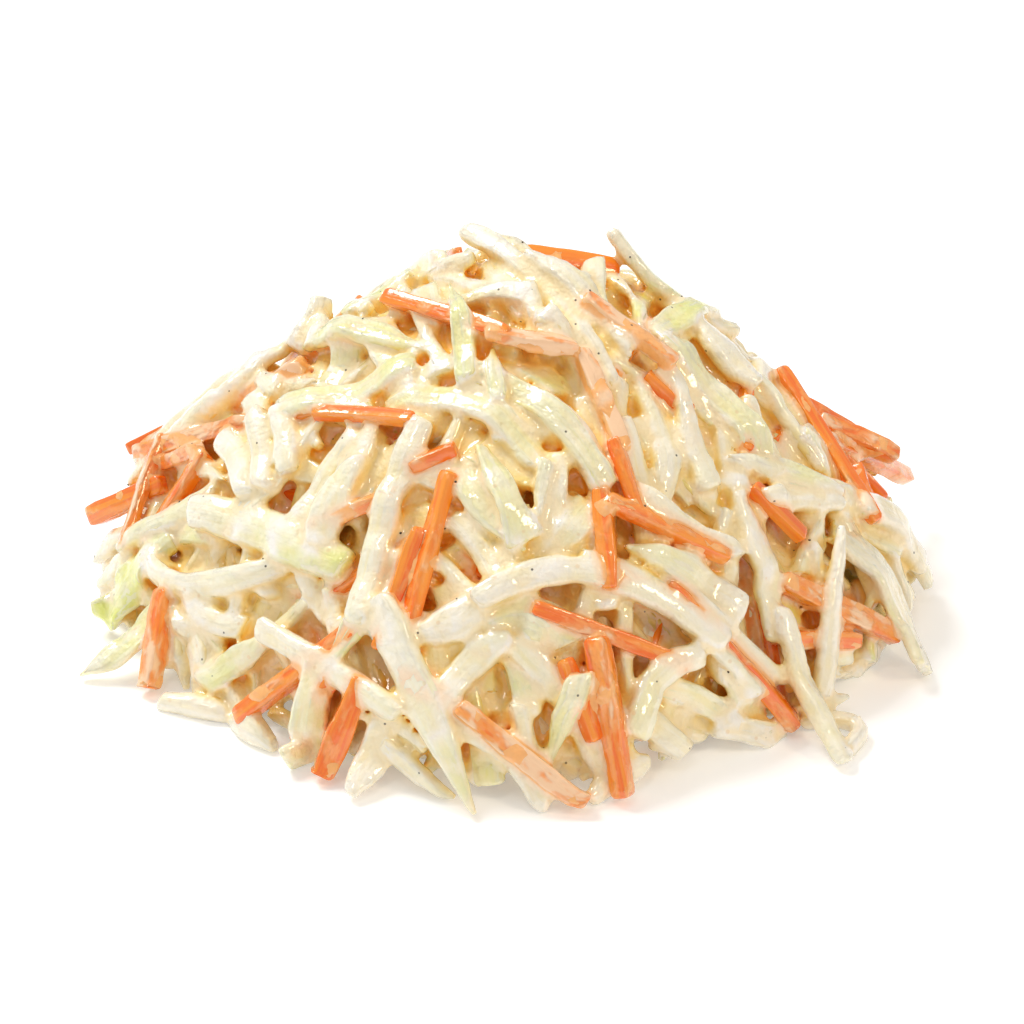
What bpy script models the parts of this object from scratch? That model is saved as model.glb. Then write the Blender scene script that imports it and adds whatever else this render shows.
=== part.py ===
"""A serving of coleslaw: a loose heap of shredded cabbage and carrot, bound with dressing.

The heap is one solid out to its uneven outline. It is made of a rounded mound, the shreds that
lie on it and stand out of it, and a flat base. Metres, +Z up, origin at the middle of the base.
The front, as served, looks along -Y.
"""

import math
import random

import bmesh
import bpy
from mathutils import Vector, noise

MM = 0.001

# The mound: a rounded cone on a base that is wider to the sides than on the diagonals.
MOUND_HEIGHT = 52 * MM
BASE_RADIUS = 56.5 * MM
BASE_TWO_LOBES = 2.0 * MM
BASE_FOUR_LOBES = 3.0 * MM
BASE_SHIFT = 1.0 * MM
BASE_SHIFT_ANGLE = 0.5
PROFILE_ROUND = 1.75
PROFILE_DROOP = 0.85
PACKED_SHARE = 0.945
REACH_STEPS = 24
MOUND_SEGMENTS = 72
MOUND_RINGS = 48
LUMP_HEIGHT = 1.1 * MM
LUMP_SIZE = 9 * MM

# Cuts: thickness, width and length of each kind of shred, in millimetres.
THICKNESS = {"carrot": 3.2, "rib": 2.6, "leaf": 2.2}
WIDTH_RANGE = {"carrot": (3.0, 3.8), "rib": (4.0, 6.0), "leaf": (5.0, 7.5)}
LENGTH_RANGE = {"carrot": (16, 30), "rib": (18, 32), "leaf": (16, 28)}
KIND_SHARE = {"carrot": 0.2, "rib": 0.5, "leaf": 0.3}
SAMPLES = 9

# Shreds laid by rule all round, in millimetres. Those on the front lie under the ones laid by hand.
SHREDS_ALL_ROUND = 230
ROUND_REACH = 0.97
ROUND_HALF_LENGTH = 0.4
ROUND_RISE = (-0.5, 1.5)
FRONT_EDGE = 6.0
FRONT_EDGE_SLOPE = 0.25
FRONT_SUNK = 2.0
EDGE_OVERHANG = 1.0

# The solid: how finely the shreds and the mound are joined, and the triangles kept.
JOIN_SIZE = 1.05 * MM
KEPT_SHARE = 0.095
FLOOR_DEPTH = 6 * MM
SEAT_DEPTH = 0.4 * MM
WELD = 0.01 * MM

# Shreds laid by hand on the front, in millimetres: kind, width, then both ends as
# (x, y, rise above the mound's surface).
LAID = [
    ("carrot", 3.4, (-16, -4, 0), (0, -15, 1)),
    ("carrot", 3.4, (-4, -14, 1), (8, -16.5, 1)),
    ("carrot", 4.0, (-29, -3, 1), (-43, 4, 2)),
    ("carrot", 3.4, (-56, 8, 14), (-42, 12, 0)),
    ("carrot", 4.2, (-54, 3, 10), (-37, -7, 1)),
    ("carrot", 3.3, (-52, -8, 1), (-48, 1, 2)),
    ("carrot", 4.6, (-61, 3, 12), (-50, -4, 0)),
    ("carrot", 3.4, (-26, -15, 0), (-13, -22, 0)),
    ("carrot", 3.8, (-7, -31, 1), (-14, -44, 1)),
    ("carrot", 4.0, (1, 8, 2), (14, 8, 4)),
    ("carrot", 3.4, (10, -9, 1), (22, -13, 2)),
    ("carrot", 3.4, (10, -17, 1), (14.5, -26.5, 1)),
    ("carrot", 3.3, (37, 4, 1), (49.5, -10, 2)),
    ("carrot", 4.0, (42, 8, 2), (51, 10, 6)),
    ("carrot", 3.6, (46, 7, 2), (55.5, 8, 9)),
    ("carrot", 3.6, (49, 6, 1), (60, 14, 12)),
    ("carrot", 3.6, (11.5, -32, 1), (14, -39.5, 1)),
    ("carrot", 3.6, (13, -31.5, 1), (28, -28.5, 1)),
    ("carrot", 3.4, (3, -43.5, 0), (21.5, -41.5, 0)),
    ("carrot", 3.8, (21, -37.5, 1), (37.5, -37, 1)),
    ("carrot", 4.0, (11.3, -45, 1), (15, -52.5, 1)),
    ("carrot", 3.8, (-5, -52, 0), (9.5, -55, 1)),
    ("carrot", 3.8, (35, -26.5, 0), (52, -21, 1)),
    ("carrot", 4.0, (-35, -38, 0), (-21, -39, 0)),
    ("carrot", 4.6, (-25, -46.5, 0), (-19, -46, 0)),
    ("rib", 5.0, (-8.5, 7, 8), (15, -18, 1)),
    ("rib", 5.0, (-33, 3, -1), (-27, 8, 9)),
    ("rib", 4.5, (-23, 3, 2), (-21, 8, 5)),
    ("rib", 5.0, (-40, -7, 1), (-34, -19, 1)),
    ("rib", 5.0, (-12, -22, 1), (-20, -39, 1)),
    ("rib", 5.2, (-4, -42, 2), (27, -38.5, 2)),
    ("rib", 4.8, (18.5, -16, 1), (22, -28, 1)),
    ("rib", 5.0, (22.5, -14, 1), (26, -25, 1)),
    ("rib", 6.0, (26, 0, 0), (33, -8, 1)),
    ("rib", 5.0, (35, 9, 3), (37, -3, 1)),
    ("rib", 6.0, (26, 6, 3), (32, 9, 3)),
    ("rib", 5.0, (16, -28, 1), (29, -28, 1)),
    ("rib", 5.5, (30, -25, 1), (36.5, -31.5, 1)),
    ("rib", 6.0, (16.5, -35.5, 1), (30, -34, 1)),
    ("rib", 4.0, (36.5, -31, 2), (46, -47, 1)),
    ("rib", 4.5, (45, -20, 4), (41.5, -31, 1)),
    ("rib", 7.0, (45, -19, 1), (59, -21.5, 2)),
    ("rib", 7.0, (45, -13, 0), (61, -3, 2)),
    ("rib", 5.0, (16.5, -51, 0), (22, -42, 1)),
    ("rib", 5.0, (18, -44.5, 0), (30.5, -44, 2)),
    ("rib", 6.0, (11.5, -53, 1), (18.5, -50.5, 1)),
    ("rib", 5.0, (-7, -52, 1), (4, -55.5, 1)),
    ("rib", 9.0, (-43, -17, 1), (-22, -34, 1)),
    ("rib", 5.0, (-50, -13, 0), (-32, -29, 1)),
    ("rib", 4.5, (-33, -34, 1), (-15, -49, 1)),
    ("rib", 7.0, (-17, -39, 1), (-5, -56.5, 1)),
    ("rib", 6.0, (-22, -54, 1), (-16, -49, 0)),
    ("leaf", 6.0, (-17, 8, 2), (-8, 10, 2)),
    ("leaf", 6.0, (-32, -11.5, 1), (-9, -17, 1)),
    ("leaf", 6.0, (-28, -3, 1), (-13, -13, 1)),
    ("leaf", 4.5, (-8.5, -5.5, 3), (-6, -17, 1)),
    ("leaf", 8.5, (-16, -17, 1), (3, -28, 1)),
    ("leaf", 4.5, (16, 8, 10), (25, 7, 0)),
    ("leaf", 6.5, (21, -7, 1), (28, 7, 3)),
    ("leaf", 7.0, (22, -12, 1), (35, -15.5, 1)),
    ("leaf", 8.5, (-60, -14, 3), (-50, -13, 1)),
    ("leaf", 6.0, (-60.5, -24, 1), (-49, -20, 1)),
    ("leaf", 6.5, (-31, -45.5, 1), (-25, -43, 1)),
]


def base_radius(angle):
    """Distance from the middle of the base to its edge, in the direction of the angle."""
    lobes = BASE_TWO_LOBES * math.cos(2 * angle) + BASE_FOUR_LOBES * math.cos(4 * angle)
    return BASE_RADIUS + lobes + BASE_SHIFT * math.cos(angle - BASE_SHIFT_ANGLE)


def mound_height(x, y):
    """Height of the mound over a point of the base, zero outside its edge."""
    share = math.hypot(x, y) / base_radius(math.atan2(y, x))
    if share >= 1:
        return 0.0
    return MOUND_HEIGHT * (1 - share**PROFILE_ROUND) ** PROFILE_DROOP


def mound_reach(point):
    """Distance from the origin to the mound's surface, in the direction of the point."""
    direction = point.normalized()
    low, high = 0.0, 2 * BASE_RADIUS
    for _ in range(REACH_STEPS):
        middle = (low + high) / 2
        x, y, z = direction * middle
        inside = mound_height(x, y) > max(z, 0)
        low, high = (middle, high) if inside else (low, middle)
    return (low + high) / 2


def on_mound(end):
    """An end of a shred, given in millimetres, as a point on or over the mound."""
    x, y, rise = (value * MM for value in end)
    return Vector((x, y, mound_height(x, y) + rise))


def shred_line(start, end, thickness):
    """The middle line of a shred: straight between its ends, and lifted where it would sink in."""
    first, last = on_mound(start), on_mound(end)
    points = [first.lerp(last, step / (SAMPLES - 1)) for step in range(SAMPLES)]
    outwards = (first + last).normalized()
    sunk = [mound_reach(point) + min(start[2], end[2], 0) * MM - point.length for point in points]
    arch = max(0.0, *sunk)
    line = []
    for step, point in enumerate(points):
        bow = math.sin(math.pi * step / (SAMPLES - 1))
        lifted = point + outwards * arch * bow
        lifted.z = max(lifted.z, thickness / 2 - SEAT_DEPTH)
        line.append(lifted)
    return line


def shreds_all_round():
    """Kind, width and ends of the shreds that cover the heap in even steps, low on the front."""
    draw = random.Random(7)
    golden_turn = math.pi * (3 - math.sqrt(5))
    for number in range(SHREDS_ALL_ROUND):
        kind = draw.choices(list(KIND_SHARE), list(KIND_SHARE.values()))[0]
        share = math.sqrt((number + 0.5) / SHREDS_ALL_ROUND)
        angle = number * golden_turn
        reach = share * base_radius(angle) / MM * ROUND_REACH
        x, y = reach * math.cos(angle), reach * math.sin(angle)
        heading = draw.uniform(0, 2 * math.pi)
        half = draw.uniform(*LENGTH_RANGE[kind]) * ROUND_HALF_LENGTH
        width = draw.uniform(*WIDTH_RANGE[kind])
        rise = draw.uniform(*ROUND_RISE)
        if y < FRONT_EDGE_SLOPE * abs(x) + FRONT_EDGE:
            rise -= FRONT_SUNK
        run = (half * math.cos(heading), half * math.sin(heading))
        ends = [inside_edge(x + way * run[0], y + way * run[1], rise) for way in (-1, 1)]
        yield kind, width, *ends


def inside_edge(x, y, rise):
    """An end of a shred drawn back to the edge of the base, in millimetres."""
    edge = base_radius(math.atan2(y, x)) / MM + EDGE_OVERHANG
    share = min(1.0, edge / math.hypot(x, y))
    return (x * share, y * share, rise)


def add_shred(name, kind, width, start, end):
    """One shred as a flat bar with round edges that follows its middle line."""
    thickness = THICKNESS[kind] * MM
    curve = bpy.data.curves.new(name, "CURVE")
    curve.dimensions = "3D"
    curve.twist_mode = "Z_UP"
    curve.bevel_depth = thickness / 2
    curve.bevel_resolution = 1
    curve.extrude = (width * MM - thickness) / 2
    curve.use_fill_caps = True
    spline = curve.splines.new("POLY")
    line = shred_line(start, end, thickness)
    spline.points.add(len(line) - 1)
    for point, place in zip(spline.points, line):
        point.co = (*place, 1.0)
        point.tilt = math.pi / 2
    shred = bpy.data.objects.new(name, curve)
    bpy.context.scene.collection.objects.link(shred)
    return shred


def mound_mesh():
    """The packed middle of the heap: a ball drawn out to the mound, with low lumps."""
    ball = bmesh.new()
    bmesh.ops.create_uvsphere(ball, u_segments=MOUND_SEGMENTS, v_segments=MOUND_RINGS, radius=1.0)
    for vertex in ball.verts:
        x, y, z = vertex.co
        angle = math.atan2(y, x)
        plan = Vector((x, y, 0)) * base_radius(angle) * PACKED_SHARE
        if z < 0:
            vertex.co = plan + Vector((0, 0, FLOOR_DEPTH * z))
            continue
        height = mound_height(plan.x, plan.y) * PACKED_SHARE
        place = plan + Vector((0, 0, height))
        lump = noise.noise(place / LUMP_SIZE) * LUMP_HEIGHT
        vertex.co = place + place.normalized() * lump
    return ball


def baked_mesh(shred, graph):
    """A shred's mesh with its caps welded on."""
    made = bmesh.new()
    made.from_mesh(bpy.data.meshes.new_from_object(shred.evaluated_get(graph)))
    bmesh.ops.remove_doubles(made, verts=made.verts, dist=WELD)
    bmesh.ops.recalc_face_normals(made, faces=made.faces)
    return made


def finish_solid(heap, floor_cutter):
    """Joins mound and shreds to one skin, keeps the triangles that matter, and cuts the base flat."""
    join = heap.modifiers.new("join", "REMESH")
    join.mode = "VOXEL"
    join.voxel_size = JOIN_SIZE
    thin_out = heap.modifiers.new("thin_out", "DECIMATE")
    thin_out.ratio = KEPT_SHARE
    base = heap.modifiers.new("flat_base", "BOOLEAN")
    base.operation = "DIFFERENCE"
    base.object = floor_cutter


def add_floor_cutter(collection):
    """A slab under the base plane, which cuts the flat face that the heap rests on."""
    half, depth = 3 * BASE_RADIUS, 10 * FLOOR_DEPTH
    slab = bmesh.new()
    bmesh.ops.create_cube(slab, size=1.0)
    bmesh.ops.scale(slab, vec=(half, half, depth), verts=slab.verts)
    bmesh.ops.translate(slab, vec=(0, 0, -depth / 2), verts=slab.verts)
    mesh = bpy.data.meshes.new("floor_cutter")
    slab.to_mesh(mesh)
    slab.free()
    cutter = bpy.data.objects.new("floor_cutter", mesh)
    cutter.hide_render = True
    cutter.display_type = "WIRE"
    collection.objects.link(cutter)
    return cutter


def slaw_material():
    """Cabbage in dressing: a pale cream with a wet shine."""
    material = bpy.data.materials.new("dressed_slaw")
    material.use_nodes = True
    shader = material.node_tree.nodes["Principled BSDF"]
    shader.inputs["Base Color"].default_value = (0.87, 0.80, 0.58, 1)
    shader.inputs["Roughness"].default_value = 0.25
    shader.inputs["Metallic"].default_value = 0.0
    return material


def main():
    for old in list(bpy.data.objects):
        bpy.data.objects.remove(old)
    parts = bpy.data.collections.new("coleslaw")
    cutters = bpy.data.collections.new("cutters")
    for collection in (parts, cutters):
        bpy.context.scene.collection.children.link(collection)
    shreds = [
        add_shred(f"shred_{number:03d}", *row)
        for number, row in enumerate([*LAID, *shreds_all_round()])
    ]
    bpy.context.view_layer.update()
    graph = bpy.context.evaluated_depsgraph_get()
    whole = mound_mesh()
    for shred in shreds:
        made = baked_mesh(shred, graph)
        mesh = bpy.data.meshes.new(shred.name)
        made.to_mesh(mesh)
        made.free()
        whole.from_mesh(mesh)
        bpy.data.meshes.remove(mesh)
        bpy.data.objects.remove(shred)
    mesh = bpy.data.meshes.new("slaw_heap")
    whole.to_mesh(mesh)
    whole.free()
    heap = bpy.data.objects.new("slaw_heap", mesh)
    heap.data.materials.append(slaw_material())
    parts.objects.link(heap)
    finish_solid(heap, add_floor_cutter(cutters))


main()
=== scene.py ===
"""The looks of a serving of coleslaw: its shreds of cabbage and carrot, the dressing, the light.

The shreds are laid on a rounded mound from the bottom up, each one on top of those before it.
The dressing is a skin that is drawn over all of them, and fills the gaps between them.
Places and sizes are in millimetres until a mesh is made.
"""

import math

import bpy
import numpy as np
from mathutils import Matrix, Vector


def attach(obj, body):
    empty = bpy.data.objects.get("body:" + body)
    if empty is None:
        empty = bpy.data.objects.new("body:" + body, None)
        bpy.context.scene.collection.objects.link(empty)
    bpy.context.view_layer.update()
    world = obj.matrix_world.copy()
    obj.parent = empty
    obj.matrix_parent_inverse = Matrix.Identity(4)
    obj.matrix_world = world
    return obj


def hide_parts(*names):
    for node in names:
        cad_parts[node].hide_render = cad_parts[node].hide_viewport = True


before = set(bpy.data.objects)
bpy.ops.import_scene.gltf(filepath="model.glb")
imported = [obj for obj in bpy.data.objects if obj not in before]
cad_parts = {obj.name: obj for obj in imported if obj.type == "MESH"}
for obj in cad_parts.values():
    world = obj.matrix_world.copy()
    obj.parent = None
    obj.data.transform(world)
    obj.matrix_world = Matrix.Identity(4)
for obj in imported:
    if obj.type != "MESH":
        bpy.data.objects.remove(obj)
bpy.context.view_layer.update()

MM = 0.001
HEAP_NODE = "slaw_heap"
NEARLY_NONE = 1e-9
TINY = 1e-4

# The mound that the shreds lie on, as the solid heap has it.
MOUND_HEIGHT = 52.0
BASE_RADIUS = 56.5
BASE_TWO_LOBES = 2.0
BASE_FOUR_LOBES = 3.0
BASE_SHIFT = 1.0
BASE_SHIFT_ANGLE = 0.5
PROFILE_ROUND = 1.75
PROFILE_DROOP = 0.85

# Where the heap has sunk in, behind its crest and down both sides: place, spread and depth.
DENTS = [(-31, 15, 12, 6.5), (-10, 20, 8, 2.5), (5, 20, 10, 5.0), (44, 15, 13, 5.0), (27, 20, 9, 3.0)]
DENT_EDGE = 4  # the power by which the dents fade out towards the edge

# Unevenness is a sum of so many waves, which reach about this height together.
RIPPLE_WAVES = 7
RIPPLE_HEIGHT = 3.2

# Broad and fine waves together: on the shreds, in how thick their coat is, and on the bed.
SHRED_WAVES = {"broad": 5.0, "fine": 2.2, "share": 0.5, "seed": 11}
PATCH_WAVES = {"broad": 6.5, "fine": 3.0, "share": 0.6, "seed": 21}
BED_WAVES = {"broad": 4.5, "fine": 2.2, "share": 0.6, "seed": 31}

# The net of directions that keeps how far out the heap reaches.
NET_SIZE = 190
REACH_STEPS = 26
CORE_DEPTH = 8.5

# How each kind of shred is cut, in millimetres, and how far it bends round the heap (1 is stiff).
THICKNESS = {"rib": 2.2, "leaf": 1.5, "carrot": 3.1}
WIDTHS = {"rib": (2.4, 4.6), "leaf": (3.4, 6.0), "carrot": (2.5, 3.5)}
LENGTHS = {"rib": (16, 32), "leaf": (15, 27), "carrot": (15, 30)}
STIFFNESS = {"rib": 0.45, "leaf": 0.15, "carrot": 1.0}
ROUND = 2.0
SQUARENESS = {"rib": 4.0, "leaf": 3.0, "carrot": ROUND}
LUMPS = {"rib": 0.14, "leaf": 0.16, "carrot": 0.16}
HAND_WIDTH = {"rib": 0.80, "leaf": 0.80, "carrot": 1.0}

# The bars that the shreds are bent from: the rows that ease their ends, as shares of the length and of the
# width, where the even part begins, and how far a carrot's long edges are eased.
ROUND_ENDS = {"rows": [(0.0, 0.62), (0.008, 0.84), (0.022, 0.96)], "body": 0.05}
PLAIN_ENDS = {"rows": [(0.0, 0.7), (0.02, 0.95)], "body": 0.08}
EDGE_EASE = 0.07

# How finely each cut is made: sides and steps of a cabbage bar, its ends, and steps of a carrot.
CUTS = {
    "fine": (16, 28, ROUND_ENDS, 16),
    "middling": (10, 10, ROUND_ENDS, 10),
    "plain": (7, 5, PLAIN_ENDS, 5),
}

# How a shred settles: how many places along it are worked out, the share of half its thickness that stays
# above what lies under it, the length over which a soft one follows a bump, the share of the bumps in
# hundredths that a stiff one clears, and the share of the room above it that a sunk one rises through.
STATIONS = 41
NESTLE = 0.75
FOLLOW_LENGTH = 7.0
STIFF_CLEARS = 80
BED_DRAW = 0.7

# A shred that stands nearly straight out gets its side from a fixed direction.
STEEP = 0.3
SIDE_WHEN_STEEP = np.array([-0.25, 0.15, 0])

# How far above the floor a shred's underside is kept, and at least each of its points.
FLOOR_CLEARANCE = 0.05
FLOOR_LEAST = 0.04

# How uneven a shred is: waves in its width, lumps of dressing on it, and grooves along it.
WOBBLE = 0.10
WOBBLE_LENGTH = 9.0
GROOVE_DEPTH = 0.24
THIN_TIPS = 0.35
CURL_LEVEL = 0.33
RUFFLE_WAVE = 0.75

# What a shred covers of those below it: lines across its width, and how far out in its thickness.
COVER_LINES = (-0.4, -0.2, 0, 0.2, 0.4)
COVER_RISE = 0.42

# Fibre places of different shreds are kept apart by steps of this many millimetres, over and over.
STRAND_STEP = 7.0
STRAND_STEPS = 97

# Layers laid by rule: the number of the first shred, which its draws come from, how many shreds, the shares
# of ribs, leaves and carrots, and how deep they lie under the mound's surface. The last ones are crumbs.
LAYERS = [
    {"first": 10000, "count": 130, "shares": (0.70, 0.20, 0.10), "sunk": 6.0},
    {"first": 20000, "count": 360, "shares": (0.74, 0.20, 0.06), "sunk": 1.9},
    {"first": 30000, "count": 330, "shares": (0.76, 0.20, 0.04), "sunk": 0.9, "size": 0.42},
]
CRUMBS = LAYERS[-1]

# How far past the edge of the base a shred may reach, the shortest one, how far tips rise on the mean, the
# share of its length that shows in plan at the edge and how much more at the top, and the power by which
# smaller shreds are narrower.
EDGE_OVER = -0.8
SHORTEST = 6
TIP_RISE = 0.8
PLAN_AT_EDGE = 0.75
PLAN_GAIN = 0.2
WIDTH_POWER = 0.3

# Where the back begins, and how it slants away to both sides.
BACK_FROM = 9
BACK_SLANT = 0.16

# The shreds that show at the back, and shorter ones that fill the front under the listed ones, most of
# them down to the right.
BACK = {"first": 40000, "count": 360, "shares": (0.57, 0.27, 0.16)}
FRONT = {"first": 50000, "count": 210, "shares": (0.74, 0.22, 0.04), "size": 0.62, "lie": (-0.9, 0.6)}

# How much lower the outer shreds lie down the left side, and along the crest.
LEFT_FROM = -20
LEFT_FALL = 0.2
LEFT_MOST = 2.0
CREST_PLACE = (7, 14)
CREST_SPREAD = (12, 8)
CREST_FALL = 4.0

# The middle of the heap: how finely it is made, how far it reaches below the floor before it is cut
# off there, and how uneven its surface is.
CORE_BELOW = 6
CORE_SEGMENTS = 96
CORE_RINGS = 64
CORE_LUMPS = 1.2
CORE_LUMP_LENGTH = 9.0

# The skin of dressing: the cells it is drawn in, how far it bridges gaps in the bed and in the coat over
# it, and how thick it lies on each kind of shred.
SKIN_VOXEL = 0.40
SKIN_TRIANGLES = 197000
BED_REACH = 1.6
BED_LUMPS = 0.42
COAT_REACH = 0.45
COAT = {
    "rib": {"depth": 0.08, "wet": 0.18, "patches": 0.14},
    "leaf": {"depth": 0.08, "wet": 0.18, "patches": 0.14},
    "carrot": {"depth": -0.07, "wet": 0.22, "patches": 0.38},
}

# How thick the dressing may be where flesh, green and orange still show through it.
FILM = 0.50
GREEN_FILM = 1.0
PINK_FILM = 0.70

# A step between two neighbouring fibre places that only a change of shred can make.
STRAND_JUMP = 2.5

# How strongly a point that stands out of its neighbours counts as a ridge.
RIDGE_CONTRAST = 1.6

# The rays that find how open each point of the heap lies, by which shade is painted into the colours.
OPEN_RAYS = 14
OPEN_START = 0.08
OPEN_LENGTH = 7.0
OPEN_BLURS = 2

# Crushed pepper: how many grains, the least and greatest size, how far above the floor they start, and how
# far under the mound's surface they may lie.
PEPPER_COUNT = 85
PEPPER_SIZES = (0.18, 0.50)
PEPPER_ABOVE = 4
PEPPER_SUNK = 1.0

# The kinds of socket that the shader groups have.
VECTOR = "NodeSocketVector"
FLOAT = "NodeSocketFloat"

# Colours, as the shaders take them.
WHITE_CABBAGE = {"flesh": (0.96, 0.885, 0.72), "vein": (0.95, 0.835, 0.54), "green": (0.86, 0.83, 0.28)}
GREEN_CABBAGE = {"flesh": (0.95, 0.88, 0.66), "vein": (0.93, 0.85, 0.48), "green": (0.72, 0.76, 0.20)}
CARROT = {
    "flesh": (0.94, 0.160, 0.002),
    "vein": (0.99, 0.310, 0.015),
    "grain": (0.98, 0.37, 0.04),
    "thin": (0.99, 0.43, 0.12),
    "thick": (0.98, 0.67, 0.42),
}
DRESSING = {
    "cream": (0.960, 0.825, 0.560),
    "cloudy": (0.955, 0.795, 0.505),
    # ridge: a whiter colour painted where the surface stands out: a painted highlight.
    "ridge": (0.955, 0.905, 0.810),
    "flesh": (0.960, 0.885, 0.710),
    "vein": (0.950, 0.835, 0.540),
    "green": (0.740, 0.770, 0.100),
    "pink": (0.99, 0.75, 0.52),
    "orange": (0.99, 0.47, 0.15),
}
SMEAR_COLOR = (0.960, 0.890, 0.730)

# Flecks in the dressing: cells per metre, the fleck's share of its cell, and the share of cells without one.
FLECKS = {"Dark": (640, 0.15, 0.93), "Warm": (520, 0.22, 0.80)}
WARM_FLECK = (0.80, 0.50, 0.22)
DARK_FLECK = (0.05, 0.035, 0.02)
PEPPER = {"husk": (0.035, 0.022, 0.012), "kernel": (0.22, 0.13, 0.05)}
# Painted shade: tints multiplied into the colours where a point lies less open, warm where shade falls and
# brown-orange deep in the gaps.
SHADE_TINT = (1.00, 0.83, 0.30)
DEEP_SHADE_TINT = (1.00, 0.54, 0.03)

# How milky cabbage and dressing are, how far in metres light soaks in, and how far each colour of it does,
# and how much of a wet film lies on everything.
MILKY = 0.30
SOAK_DEPTH = 0.0010
SOAK = {"cabbage": (1.0, 0.72, 0.45), "carrot": (1.0, 0.35, 0.12), "dressing": (1.0, 0.62, 0.28)}
WET_COAT = 0.9

# The depth in metres of the relief that is left to the shaders, the share of it that the wet film follows,
# and how fine its lumps and beads are.
SHRED_RELIEF = 0.0005
DRESSING_RELIEF = 0.0009
FILM_RELIEF = 0.25
LUMP_SCALE = 330
BEAD_SCALE = 1300

# Each light's place, the side of its square, its watts and its colour.
LIGHTS = {
    "key": ((-0.42, 0.28, 0.78), 0.34, 5.6, (0.955, 0.98, 1.0)),
    "front": ((-0.14, -0.42, 0.85), 0.13, 0.6, (1.0, 0.96, 0.90)),
    "fill": ((0.55, -0.38, 0.55), 0.16, 1.3, (1.0, 0.78, 0.50)),
}
LIT_PLACE = (0, 0, 0.02)
WHITE = (1, 1, 1, 1)
FLOOR_SIZE = 6
FLOOR_WHITE = 0.92
FLOOR_GLOW = 0.22
ROOM_LIGHT = 0.53

# The camera looks down on the heap by that many degrees, and sees that width of it.
CAMERA_TILT = 30
CAMERA_DISTANCE = 0.600
CAMERA_AIM = (0.0003, 0.00585, 0.01013)
CAMERA_SENSOR = 36
VIEW_WIDTH = 0.1536


# ---------------------------------------------------------------------------- the mound


def base_radius(angle):
    """Distance from the middle of the base to its edge, in the direction of the angle."""
    lobes = BASE_TWO_LOBES * np.cos(2 * angle) + BASE_FOUR_LOBES * np.cos(4 * angle)
    return BASE_RADIUS + lobes + BASE_SHIFT * np.cos(angle - BASE_SHIFT_ANGLE)


def mound_height(x, y):
    """Height of the mound over points of the base, zero outside its edge."""
    share = np.minimum(np.hypot(x, y) / base_radius(np.arctan2(y, x)), 1.0)
    sunk = 0.0
    for left, back, wide, deep in DENTS:
        sunk = sunk + deep * np.exp(-((x - left) ** 2 + (y - back) ** 2) / wide**2)
    return MOUND_HEIGHT * (1 - share**PROFILE_ROUND) ** PROFILE_DROOP - sunk * (1 - share**DENT_EDGE)


def mound_reach(points):
    """Distance from the origin to the mound's surface, in the direction of each point."""
    unit = points / np.maximum(np.linalg.norm(points, axis=1, keepdims=True), NEARLY_NONE)
    low, high = np.zeros(len(unit)), np.full(len(unit), 2 * BASE_RADIUS)
    for _ in range(REACH_STEPS):
        middle = (low + high) / 2
        x, y, z = (unit * middle[:, None]).T
        inside = mound_height(x, y) > np.maximum(z, 0)
        low, high = np.where(inside, middle, low), np.where(inside, high, middle)
    return (low + high) / 2


def outward(points):
    """Directions straight out of the mound, taken as half an egg."""
    x, y, z = points.T
    normal = np.stack([x / BASE_RADIUS**2, y / BASE_RADIUS**2, np.maximum(z, 0.5) / MOUND_HEIGHT**2], 1)
    return normal / np.linalg.norm(normal, axis=1, keepdims=True)


def ripple(points, size, seed):
    """Smooth uneven waves of about that size, from -1 to 1, in any number of dimensions."""
    draw = np.random.default_rng(seed)
    total = np.zeros(len(points))
    for _ in range(RIPPLE_WAVES):
        heading = draw.normal(size=points.shape[1])
        heading /= np.linalg.norm(heading)
        wave = 2 * math.pi / (size * draw.uniform(0.7, 1.6))
        total += np.sin(points @ heading * wave + draw.uniform(0, 2 * math.pi))
    return total / RIPPLE_HEIGHT


def unevenness(points, broad, fine, share, seed):
    """Broad waves with that share, and fine waves with the rest."""
    return ripple(points, broad, seed) * share + ripple(points, fine, seed + 1) * (1 - share)


class Skin:
    """How far out the heap reaches in every direction, on an equal-area net over the dome."""

    def __init__(self):
        place = (np.arange(NET_SIZE) + 0.5) / NET_SIZE * 2 - 1
        x, y = (grid.ravel() for grid in np.meshgrid(place, place, indexing="ij"))
        off = np.minimum(x * x + y * y, 0.9999)
        unit = np.stack([x * np.sqrt(2 - off), y * np.sqrt(2 - off), 1 - off], 1)
        self.reach = (mound_reach(unit) - CORE_DEPTH).reshape(NET_SIZE, NET_SIZE)

    def cells(self, points):
        """Row and column of the net for each point."""
        unit = points / np.maximum(np.linalg.norm(points, axis=1, keepdims=True), NEARLY_NONE)
        flat = unit[:, :2] / np.sqrt(1 + np.maximum(unit[:, 2:], 0))
        cell = ((flat + 1) / 2 * NET_SIZE).astype(int)
        return np.clip(cell, 0, NET_SIZE - 1).T

    def at(self, points):
        """The heap's reach in the direction of each point."""
        row, column = self.cells(points)
        return self.reach[row, column]

    def cover(self, points):
        """The heap now reaches out to these points."""
        row, column = self.cells(points)
        np.maximum.at(self.reach, (row, column), np.linalg.norm(points, axis=1))


# ---------------------------------------------------------------------------- the cuts


def select_only(*pieces):
    """Leaves edit mode and selects these pieces and nothing else."""
    if bpy.context.object and bpy.context.object.mode != "OBJECT":
        bpy.ops.object.mode_set(mode="OBJECT")
    bpy.ops.object.select_all(action="DESELECT")
    for piece in pieces:
        piece.select_set(True)
    if pieces:
        bpy.context.view_layer.objects.active = pieces[0]


def edit_all(piece):
    """Opens a piece in edit mode with everything selected."""
    select_only(piece)
    bpy.ops.object.mode_set(mode="EDIT")
    bpy.ops.mesh.select_all(action="SELECT")


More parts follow.
